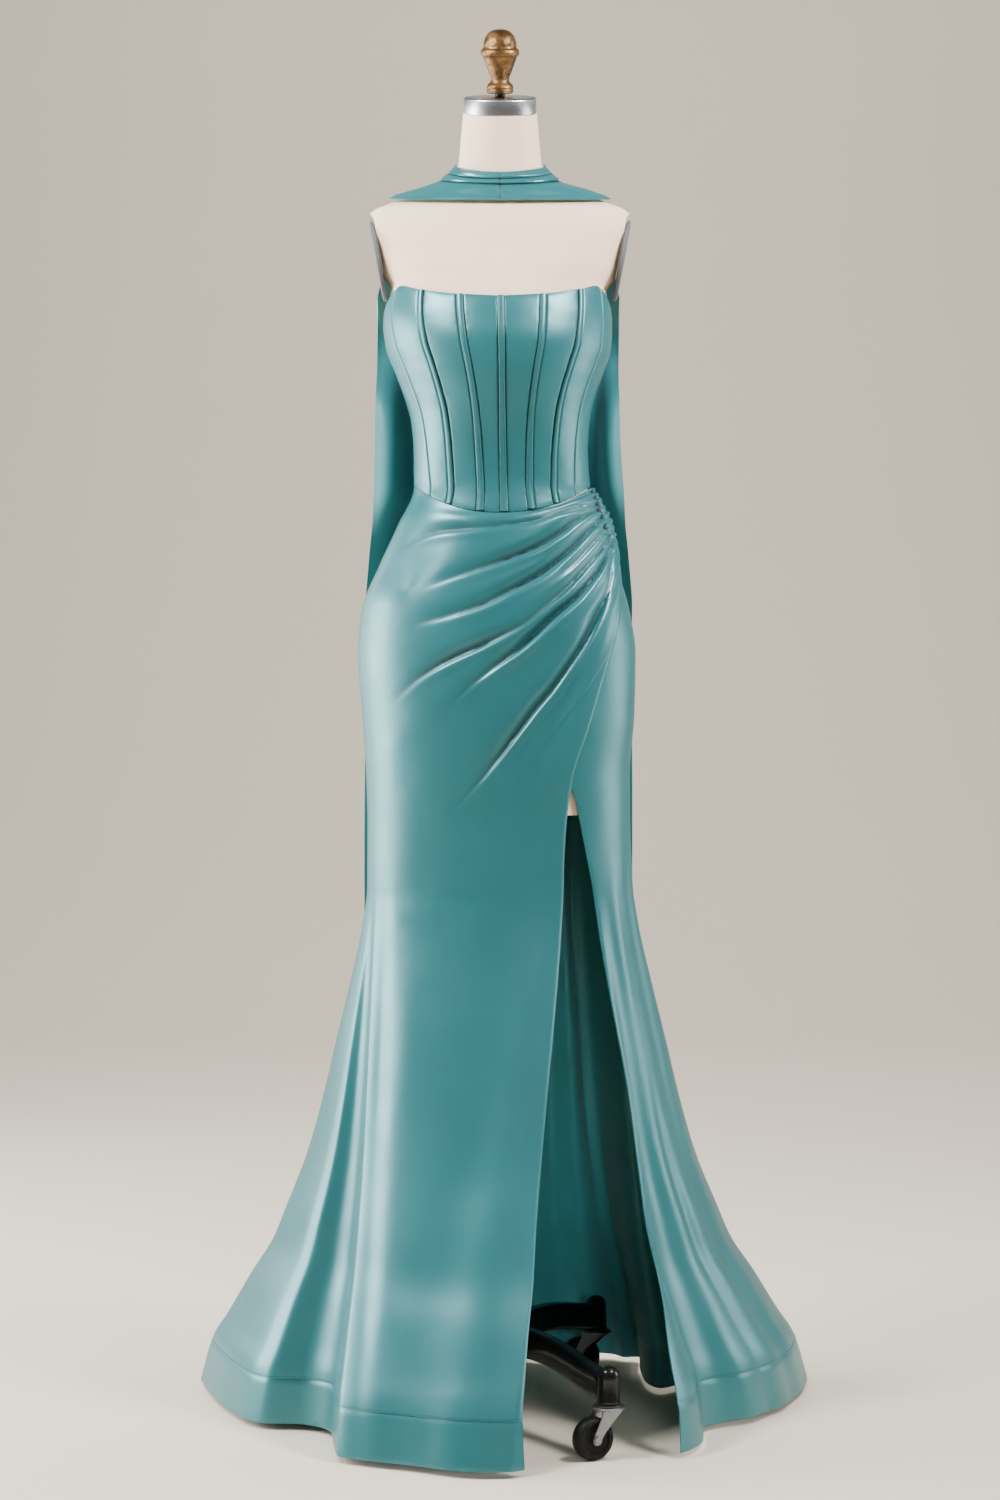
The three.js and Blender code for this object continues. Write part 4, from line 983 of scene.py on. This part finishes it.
class OBJECT_OT_gown_scarf(bpy.types.Operator):
    """Folds the scarf's pleats round the neck and hangs its two tails down the back"""

    bl_idname = "object.gown_scarf"
    bl_label = "Neck scarf"

    def execute(self, context):
        settings = settings_now()
        thick = settings.scarf_cloth / MM
        for k, (name, top, foot) in enumerate(PLEATS):
            turn, v = np.meshgrid(np.linspace(-PLEAT_END, PLEAT_END, 161), np.linspace(0, 1, 25))
            rise = PLEAT_SIDE_RISE * (1 - np.cos(np.radians(turn))) * 0.9
            z = mix(foot, top, v) + rise
            lift = mix(7.5, 4, v) + 0.9 * np.sin(np.pi * v) ** 2
            long_fold = (0.5, 0.6, 1.0)[k] * np.sin(5.5 * v + 0.03 * turn + 2 * k) * np.sin(np.pi * v)
            long_fold += 0.5 * np.sin(0.11 * turn + 1.7 * k) * np.sin(np.pi * v)
            seam = -0.8 * np.exp(-((turn / 1.2) ** 2))
            tucked = (PLEATS[k - 1][2] if k else top + 9) - mix(foot, top, v)
            # Painted shade where each pleat passes under the one above it, and along the centre seam
            hollow = 0.85 * np.exp(-((np.maximum(tucked, 0) / 1.9) ** 2)) + 0.6 * np.exp(-((turn / 0.9) ** 2))
            fold_under = -1.2 * np.exp(-((v / 0.06) ** 2))
            lift = lift + long_fold + seam + fold_under
            piece, outer = sewn(name + "_satin", turn, z, lift, thick, form_point, hollow)
            declare(piece, name)
        for side, table in TAILS.items():
            self.tail(side, table, thick, settings)
        return {"FINISHED"}

    def tail(self, side, table, thick, settings):
        sign = -1 if side == "left" else 1
        outer_edge, inner_edge = track(table, 1), track(table, 2)
        lowest = table[0][0]
        half_width = body_left if sign < 0 else body_right

        def hang(u, z):
            x = mix(outer_edge(z), inner_edge(z), u)
            high = np.maximum(z, KNEE_HEIGHT)
            share = 0.86 * x / half_width(high)
            behind = body_back(high) * np.sqrt(np.logaddexp(0, 12 * (1 - share * share)) / 12)
            wave = 0
            for middle, wide, rise, drift in TAIL_FOLDS[side]:
                crest = np.exp(-(((u - middle - drift * (z - 900) / 900) / wide) ** 2))
                wave = wave + rise * crest * (1 + 0.3 * np.sin(0.009 * z + 9 * middle))
            free = smooth(740, 540, z) * 26 + 9
            curl = 18 * np.maximum(0, 1 - u / 0.42) ** 2 * smooth(1400, 1320, z)
            return np.stack([sign * x, behind + free + wave + curl, z + 0 * x], -1)

        def outer(u, v):
            z = mix(lowest, TAIL_SHOULDER, np.minimum(v / 0.72, 1))
            down = hang(u, z)
            neck_turn, neck_height = sign * (PLEAT_END + 1) + 0 * u, mix(1526, 1556, u)
            start = lifted(form_point, neck_turn, neck_height, np.full(u.shape, 3.3))
            end = hang(u, TAIL_SHOULDER + 0 * u)
            bend_x, bend_y = mix(start[..., 0], end[..., 0], 0.6), np.maximum(end[..., 1], 84) + 22
            bend = np.stack([bend_x, bend_y, start[..., 2] - 6], -1)
            t = np.clip((v - 0.72) / 0.28, 0, 1)[..., None]
            over = end * (1 - t) ** 2 + bend * 2 * t * (1 - t) + start * t * t
            return np.where((v < 0.72)[..., None], down, over)

        u, v = np.meshgrid(np.linspace(0, 1, 57), np.linspace(0, 1, 141))
        u = u if sign > 0 else 1 - u
        up = outer(u, np.minimum(1, v + 0.01)) - outer(u, np.maximum(0, v - 0.01))
        inwards = outer(np.minimum(1, u + 0.01), v) - outer(np.maximum(0, u - 0.01), v)
        away = np.cross(inwards * sign, up)
        away /= np.linalg.norm(away, axis=-1, keepdims=True)
        face = outer(u, v)
        edge = np.minimum(u, 1 - u) * 90
        face = face - away * (0.8 * np.exp(-((edge / 2.5) ** 2)))[..., None]
        piece = cloth_wall("scarf_tail_" + side + "_satin", face, face - away * thick)
        declare(piece, "scarf_tail_" + side)


# Dress form and stand


def plain(piece, body, slot, kind, *nodes):
    piece.data.materials.append(finish(kind, settings_now()))
    place_on(piece, body, slot, *nodes)
    return piece


def turned(name, profile, sides=48, degrees=32, bore=False):
    """A turned piece: a disc, or a hoop for a bored one, drawn up through the rings of its profile.

    Each ring is (radius, height).
    """
    bpy.ops.object.select_all(action="DESELECT")
    radius, height = profile[0]
    fill = "NOTHING" if bore else "NGON"
    bpy.ops.mesh.primitive_circle_add(
        vertices=sides, radius=radius * MM, fill_type=fill, location=(0, 0, height * MM)
    )
    piece = bpy.context.object
    piece.name = piece.data.name = name
    bpy.ops.object.transform_apply(location=True, rotation=True, scale=True)
    bpy.ops.object.mode_set(mode="EDIT")
    bpy.ops.mesh.select_all(action="SELECT")
    for wide, high in profile[1:]:
        bpy.ops.mesh.extrude_region_move(TRANSFORM_OT_translate={"value": (0, 0, (high - height) * MM)})
        bpy.ops.transform.resize(value=(wide / radius, wide / radius, 1))
        radius, height = wide, high
    if bore:
        bpy.ops.mesh.select_all(action="DESELECT")
        bpy.ops.mesh.select_non_manifold()
        bpy.ops.mesh.bridge_edge_loops()
    bpy.ops.mesh.select_all(action="SELECT")
    bpy.ops.mesh.normals_make_consistent(inside=False)
    bpy.ops.object.mode_set(mode="OBJECT")
    soften(piece, degrees)
    return piece


def neck_place():
    shift = Matrix.Translation((0, NECK_CENTRE * MM, NECK_TOP * MM))
    return shift @ Matrix.Rotation(NECK_LEAN, 4, "X")


class OBJECT_OT_gown_form(bpy.types.Operator):
    """Makes the cloth torso of the dress form with its seams, and its two arm plates"""

    bl_idname = "object.gown_form"
    bl_label = "Dress form"

    def execute(self, context):
        heights = np.concatenate([
            np.arange(FORM_BOTTOM, FORM_JOIN, 9.0), np.linspace(FORM_JOIN, 1500, 20),
            np.linspace(1504, 1560, 26), np.linspace(1564, 1622, 12),
        ])
        turn, z = np.meshgrid(np.arange(0, 360, 2.5), heights)
        points = form_point(turn, z)
        normal = outward(form_point, turn, z)
        lean = np.degrees(np.arctan2(points[..., 0], -points[..., 1]))
        groove = np.exp(-((points[..., 0] / 1.3) ** 2)) * (points[..., 1] < 0)
        princess = np.exp(-(((np.abs(lean) - 33) * np.pi / 180 * 100 / 1.5) ** 2)) * (z < 1500)
        side = np.exp(-(((np.abs(lean) - 100) * np.pi / 180 * 140 / 1.5) ** 2)) * (z < 1490)
        points = points - normal * (0.7 * groove + 0.4 * princess + 0.5 * side)[..., None]
        rows, columns = z.shape
        index = np.arange(rows * columns).reshape(rows, columns)
        beside = np.roll(index, -1, 1)
        faces = np.stack([index[:-1], beside[:-1], beside[1:], index[1:]], -1).reshape(-1, 4).tolist()
        mesh = bpy.data.meshes.new("torso_cloth")
        ends = [index[0][::-1].tolist(), index[-1].tolist()]
        mesh.from_pydata((points.reshape(-1, 3) * MM).tolist(), [], faces + ends)
        piece = bpy.data.objects.new("torso_cloth", mesh)
        context.scene.collection.objects.link(piece)
        soften(piece)
        plain(piece, "root", "form_cloth", "form", "form_torso")
        for side, sign in (("left", -1), ("right", 1)):
            self.arm_plate(side, sign)
        return {"FINISHED"}

    def arm_plate(self, side, sign):
        plate = ARM_PLATE
        half = plate["thick"] / 2
        profile = [
            (90, -half), (97, -half + 0.5), (100, -half + 1.6), (100, half - 1.6), (97, half - 0.5),
            (90, half), (40, half + 0.4), (2, half + 0.5),
        ]
        piece = turned("arm_plate_" + side + "_disc", profile, 72)
        stand = Matrix.Rotation(math.radians(90) * sign, 4, "Y")
        stretch = Matrix.Diagonal((1, plate["deep"] / 100, plate["high"] / 100, 1))
        lean = Matrix.Identity(4)
        lean[0][2] = sign * plate["lean"]
        place = Matrix.Translation((sign * plate["x"] * MM, 0, plate["z"] * MM))
        piece.data.transform(place @ lean @ stretch @ stand)
        plain(piece, "root", "arm_plate", "plate", "arm_plate_" + side)


class OBJECT_OT_gown_finial(bpy.types.Operator):
    """Turns the steel neck cap, the stud and the aged brass finial"""

    bl_idname = "object.gown_finial"
    bl_label = "Neck cap and finial"

    def execute(self, context):
        place = neck_place()
        rounded = [(45.2, 0), (45.5, 0.4), (45.5, 17.2), (45, 18.6), (43.8, 19.7), (42, 20), (0.4, 20.2)]
        cap = turned("cap_steel_top", rounded, 96)
        stud = turned("stud_black", [(5.6, 20.3), (6.2, 20.8), (6.2, 23.4), (5.8, 23.9)], 32)
        foot = 24.2
        outline = [
            (14.6, 0), (15.6, 0.6), (16.5, 2), (16.5, 5), (16.1, 5.6), (16.5, 6.2), (16.5, 9), (15, 11),
            (12.3, 13.4), (11.5, 15), (11.3, 17.5), (12, 20), (14, 25), (16.6, 31.5), (19, 38),
            (20.4, 42.3), (21.4, 44.6), (23.1, 46), (23.8, 47.5), (24, 49.6), (23.7, 52), (22.7, 53.6),
            (21.2, 54.6), (20.4, 55.6), (20.6, 58), (20.2, 62), (18.9, 66.4), (16.8, 70.4), (13.6, 73.8),
            (9.4, 76.2), (5, 77.3), (0.3, 77.5),
        ]
        knob = turned("finial_brass_knob", [(radius, height + foot) for radius, height in outline], 72, 60)
        for piece, slot, kind, node in (
            (cap, "cap_steel", "steel", "neck_cap"), (stud, "stand_black", "paint", "finial_stud"),
            (knob, "finial_brass", "brass", "finial_knob"),
        ):
            piece.data.transform(place)
            plain(piece, "root", slot, kind, node)
        return {"FINISHED"}


def drawn(name, rings, bevel):
    """A bar drawn from its first section through the others, with its sharp edges rounded.

    Each section is (centre, size), and its size along the bar is 0.
    """
    bpy.ops.object.select_all(action="DESELECT")
    centre, size = rings[0]
    quarter = math.pi / 2 if size[0] == 0 else 0
    bpy.ops.mesh.primitive_plane_add(size=MM, location=[c * MM for c in centre], rotation=(0, quarter, 0))
    piece = bpy.context.object
    piece.name = piece.data.name = name
    bpy.ops.object.transform_apply(location=True, rotation=True, scale=True)
    bpy.ops.object.mode_set(mode="EDIT")
    bpy.ops.mesh.select_all(action="SELECT")
    bpy.ops.transform.resize(value=[side or 1 for side in size])
    for following, wide in rings[1:]:
        step = [(b - a) * MM for a, b in zip(centre, following)]
        bpy.ops.mesh.extrude_region_move(TRANSFORM_OT_translate={"value": step})
        bpy.ops.transform.resize(value=[b / a if a else 1 for a, b in zip(size, wide)])
        centre, size = following, wide
    bpy.ops.mesh.select_all(action="SELECT")
    bpy.ops.mesh.normals_make_consistent(inside=False)
    bpy.ops.object.mode_set(mode="OBJECT")
    bpy.ops.object.mode_set(mode="EDIT")
    bpy.ops.mesh.select_mode(type="EDGE")
    bpy.ops.mesh.select_all(action="DESELECT")
    bpy.ops.mesh.edges_select_sharp(sharpness=math.radians(35))
    bpy.ops.mesh.bevel(offset=bevel * MM, segments=4, profile=0.5, clamp_overlap=True)
    bpy.ops.object.mode_set(mode="OBJECT")
    soften(piece, 40)
    return piece


def joined(name, pieces):
    bpy.ops.object.select_all(action="DESELECT")
    for piece in pieces:
        piece.select_set(True)
    bpy.context.view_layer.objects.active = pieces[0]
    bpy.ops.object.join()
    pieces[0].name = pieces[0].data.name = name
    return pieces[0]


def put(piece, place):
    piece.data.transform(place)
    return piece


def copied(piece, name):
    twin = piece.copy()
    twin.data = piece.data.copy()
    twin.name = twin.data.name = name
    bpy.context.scene.collection.objects.link(twin)
    return twin


class OBJECT_OT_gown_stand(bpy.types.Operator):
    """Makes the pole, hub and four cast legs of the stand"""

    bl_idname = "object.gown_stand"
    bl_label = "Stand"

    def execute(self, context):
        pole = turned("pole_tube", [(12, 135.5), (12.5, 136), (12.5, 749), (12, 749.6)], 32)
        plain(pole, "root", "stand_black", "paint", "pole")
        outline = [
            (27, 70), (30, 70.6), (32.8, 73), (34, 77), (34, 105), (33, 108.5), (30, 111.5), (25.5, 114.5),
            (22.6, 118.5), (21.2, 123), (20.6, 131), (19.8, 134), (18.4, 135), (13, 135.2),
        ]
        plain(turned("hub_casting", outline, 48), "root", "stand_black", "paint", "stand_hub")
        sections = [
            (33, 97, 41, 22), (44, 99, 39, 21), (60, 100.6, 37.5, 20.5), (84, 101.6, 36, 20),
            (108, 101.4, 35.2, 20), (132, 99.8, 34.8, 20), (156, 96.8, 34.6, 20), (180, 92.8, 34.6, 20),
            (202, 88.4, 34.6, 20), (222, 84.8, 34.4, 20.5), (238, 83, 34, 21), (250, 82.4, 33.6, 22),
        ]
        bar = drawn("leg_bar", [((x, 0, z), (0, wide, high)) for x, z, high, wide in sections], 6)
        barrel = turned("leg_barrel", [
            (11, 63), (13.2, 63.3), (13.8, 64.4), (13.8, 67.2), (13.3, 68.6), (13.2, 92), (12.9, 96.4),
            (11.8, 100.2), (9.8, 103.2), (7, 105.2), (3.8, 106.2), (0.3, 106.5),
        ], 40, 50)
        put(barrel, Matrix.Translation((LEG_REACH * MM, 0, 0)))
        leg = joined("leg_casting", [bar, barrel])
        for name, turn in LEG_TURNS.items():
            piece = put(copied(leg, "leg_casting_" + name), Matrix.Rotation(math.radians(turn - 90), 4, "Z"))
            plain(piece, "root", "stand_black", "paint", "leg_" + name)
        bpy.data.objects.remove(leg)
        return {"FINISHED"}


class OBJECT_OT_gown_casters(bpy.types.Operator):
    """Makes the four swivel casters, each a plated fork and a wheel"""

    bl_idname = "object.gown_casters"
    bl_label = "Swivel casters"

    def execute(self, context):
        fork, wheel = self.fork(), self.wheel()
        for name, turn in LEG_TURNS.items():
            spin = math.radians(turn)
            spot = Matrix.Translation((LEG_REACH * MM * math.sin(spin), -LEG_REACH * MM * math.cos(spin), 0))
            place = spot @ Matrix.Rotation(math.radians(CASTER_HEADING[name]), 4, "Z")
            plated = put(copied(fork, "fork_plated_" + name), place)
            plain(plated, "caster_" + name, "caster_zinc", "zinc", "caster_fork_" + name)
            tyre = put(copied(wheel, "wheel_tyre_" + name), place)
            plain(tyre, "wheel_" + name, "wheel_rubber", "rubber", "caster_wheel_" + name)
        for pattern in (fork, wheel):
            bpy.data.objects.remove(pattern)
        return {"FINISHED"}

    def axle_place(self):
        spot = Matrix.Translation((-CASTER_TRAIL * MM, 0, WHEEL_RADIUS * MM))
        return spot @ Matrix.Rotation(math.pi / 2, 4, "X")

    def fork(self):
        shape = [
            (0.8, 59.8, 29), (-0.4, 57, 28.6), (-4, 51.5, 24), (-9.5, 44.5, 19.5), (-14.8, 37.5, 16),
            (-19, 31, 13.6), (-22, 25, 12), (-22, 21.6, 10.6), (-22, 19.6, 7.8), (-22, 18.8, 4),
        ]
        parts = [
            drawn("fork_cheek", [((x, side * 10.8, z), (wide, 2, 0)) for x, z, wide in shape], 0.5)
            for side in (-1, 1)
        ]
        parts.append(drawn("fork_top", [((-0.5, 0, 57), (25, 23.6, 0)), ((-0.5, 0, 60), (25, 23.6, 0))], 0.7))
        parts.append(turned("fork_race", [
            (16, 57.4), (19, 57.7), (20, 58.6), (20, 60), (19, 60.8), (14.4, 61), (14.4, 61.5),
            (16.6, 61.6), (16.8, 62.3), (16, 62.7),
        ], 40))
        axle = turned("fork_axle", [(2.5, -13.4), (3, -12.9), (3, 12.9), (2.5, 13.4)], 20)
        parts.append(put(axle, self.axle_place()))
        for side in (-1, 1):
            nut = turned("fork_nut", [(4.6, 11.85), (5.1, 12.2), (5.1, 13.6), (4.2, 14.2)], 6)
            put(nut, self.axle_place() @ Matrix.Rotation(math.pi * (side < 0), 4, "X"))
            parts.append(nut)
        return joined("fork_plated", parts)

    def wheel(self):
        """A wheel turned about its bore, with the two ends of its profile bridged, so the bore stays open."""
        half = [
            (25, 4.2), (23.8, 7.4), (21.8, 8.8), (19, 8.8), (18, 8.2), (17.2, 6.4), (15.4, 5.8), (9, 6.4),
            (8.4, 8.2), (7.6, 9), (3.4, 9),
        ]
        profile = [(radius, -height) for radius, height in reversed(half)] + half
        return put(turned("wheel_tyre", profile, 48, 35, bore=True), self.axle_place())


class OBJECT_OT_gown_zip(bpy.types.Operator):
    """Makes the slider and pull tab of the concealed zip"""

    bl_idname = "object.gown_zip"
    bl_label = "Zip slider and tab"

    def execute(self, context):
        top = float(top_edge(180.0))
        back = float(body_back(top))
        body = drawn("slider_body", [((0, back + 2.8, top - 8 + z), (wide, deep, 0)) for z, wide, deep in (
            (-5.5, 4.6, 3), (-4.6, 5.6, 4), (1.5, 7, 4), (4.2, 7, 4), (5.5, 5.6, 3),
        )], 0.5)
        plain(body, "root", "zip_metal", "steel", "zip_slider")
        tab = drawn("tab_plate", [((0, back + 5.9, top - 7 + z), (wide, 1.4, 0)) for z, wide in (
            (-0.6, 4), (-8, 4.6), (-16, 5.6), (-20, 6), (-21.6, 5), (-22.8, 2.6),
        )], 0.3)
        plain(tab, "zip_tab", "zip_metal", "steel", "zip_pull_tab")
        return {"FINISHED"}


# Stage


class OBJECT_OT_gown_stage(bpy.types.Operator):
    """Sets the pale floor with its curved backdrop, the soft studio light and the camera"""

    bl_idname = "object.gown_stage"
    bl_label = "Studio"

    def execute(self, context):
        settings = settings_now()
        start, bend = 4.6, 3.8
        sweep = [(y, 0.0) for y in np.linspace(-9, start, 12)]
        for a in np.linspace(0, math.pi / 2, 33)[1:]:
            sweep.append((start + bend * math.sin(a), bend - bend * math.cos(a)))
        sweep += [(start + bend, z) for z in (5, 6.5, 8)]
        points = np.array([(x, y, z) for y, z in sweep for x in (-9.0, 9.0)])
        index = np.arange(len(points)).reshape(-1, 2)
        faces = np.stack([index[:-1, 0], index[:-1, 1], index[1:, 1], index[1:, 0]], -1)
        floor = mesh_piece("floor", points / MM, faces)
        soften(floor)
        material, tree, shader = node_tree("floor_paper")
        colour = tuple(settings.floor_colour)
        patch = between(tree, noise(tree, 0.7), 0, 1)
        tree.links.new(two_tones(tree, patch, shade(colour, 0.98), colour), shader.inputs["Base Color"])
        shader.inputs["Roughness"].default_value = 0.75
        floor.data.materials.append(material)
        world = bpy.data.worlds.new("studio")
        world.use_nodes = True
        world.node_tree.nodes["Background"].inputs["Color"].default_value = (0.83, 0.81, 0.78, 1)
        world.node_tree.nodes["Background"].inputs["Strength"].default_value = 0.16
        context.scene.world = world
        for name, place, aim, size, watts, spread in (
            ("key_left", (-2.7, 0.25, 1.12), (0, 0, 1.0), (1.6, 1.5), 150, 180),
            ("key_right", (2.7, 0.3, 1.12), (0, 0, 1.0), (1.3, 1.4), 37, 180),
            ("front_left", (-1.12, -0.74, 2.15), (0, 0, 1.37), (0.46, 0.4), 54, 180),
            ("front_right", (1.12, -0.74, 2.15), (0, 0, 1.37), (0.44, 0.4), 54, 180),
            ("back_left", (-2.3, 1.9, 1.3), (0, 0, 0.8), (1.4, 1.8), 26, 180),
            ("slit", (0.5, -3.0, 0.9), (0.1, 0.1, 0.2), (0.5, 0.5), 0.7, 20),
            ("backdrop", (0, 2.6, 5.2), (0, 8.2, 0.9), (5.5, 1.6), 340, 180),
            ("floor", (0, 0.6, 4.6), (0, -0.2, 0), (3.4, 2.2), 64, 180),
        ):
            self.light(name, place, aim, size, watts, spread)
        bpy.ops.object.camera_add(location=(0, -3.6, 0.83), rotation=(math.pi / 2, 0, 0))
        camera = context.object
        camera.name = "camera"
        camera.data.lens = 69.12
        camera.data.sensor_width = 36
        camera.data.dof.use_dof = False
        context.scene.camera = camera
        return {"FINISHED"}

    def light(self, name, place, aim, size, watts, spread):
        bpy.ops.object.light_add(type="AREA", location=place)
        lamp = bpy.context.object
        lamp.name = name
        lamp.data.shape = "RECTANGLE"
        lamp.data.size, lamp.data.size_y = size
        lamp.data.energy = watts
        lamp.data.spread = math.radians(spread)
        lamp.visible_glossy = spread > 90 and name != "floor"
        toward = Vector(aim) - lamp.location
        lamp.rotation_euler = toward.to_track_quat("-Z", "Y").to_euler()


class VIEW3D_PT_gown(bpy.types.Panel):
    """Sizes, colours and pieces of the gown"""

    bl_label = "Mermaid gown"
    bl_space_type = "VIEW_3D"
    bl_region_type = "UI"
    bl_category = "Gown"

    def draw(self, context):
        settings = context.scene.mermaid_gown
        for name in GownSettings.__annotations__:
            self.layout.prop(settings, name)
        for piece in PIECES:
            self.layout.operator(piece.bl_idname)


PIECES = [
    OBJECT_OT_gown_form, OBJECT_OT_gown_bodice, OBJECT_OT_gown_wrap, OBJECT_OT_gown_skirt,
    OBJECT_OT_gown_hem, OBJECT_OT_gown_scarf, OBJECT_OT_gown_finial, OBJECT_OT_gown_stand,
    OBJECT_OT_gown_casters, OBJECT_OT_gown_zip, OBJECT_OT_gown_stage,
]


def register():
    bpy.utils.register_class(GownSettings)
    bpy.types.Scene.mermaid_gown = bpy.props.PointerProperty(type=GownSettings)
    for item in (*PIECES, VIEW3D_PT_gown):
        bpy.utils.register_class(item)


def unregister():
    for item in (VIEW3D_PT_gown, *reversed(PIECES)):
        bpy.utils.unregister_class(item)
    del bpy.types.Scene.mermaid_gown
    bpy.utils.unregister_class(GownSettings)


def main():
    register()
    for piece in PIECES:
        group, name = piece.bl_idname.split(".")
        getattr(getattr(bpy.ops, group), name)()


if __name__ == "__main__":
    main()
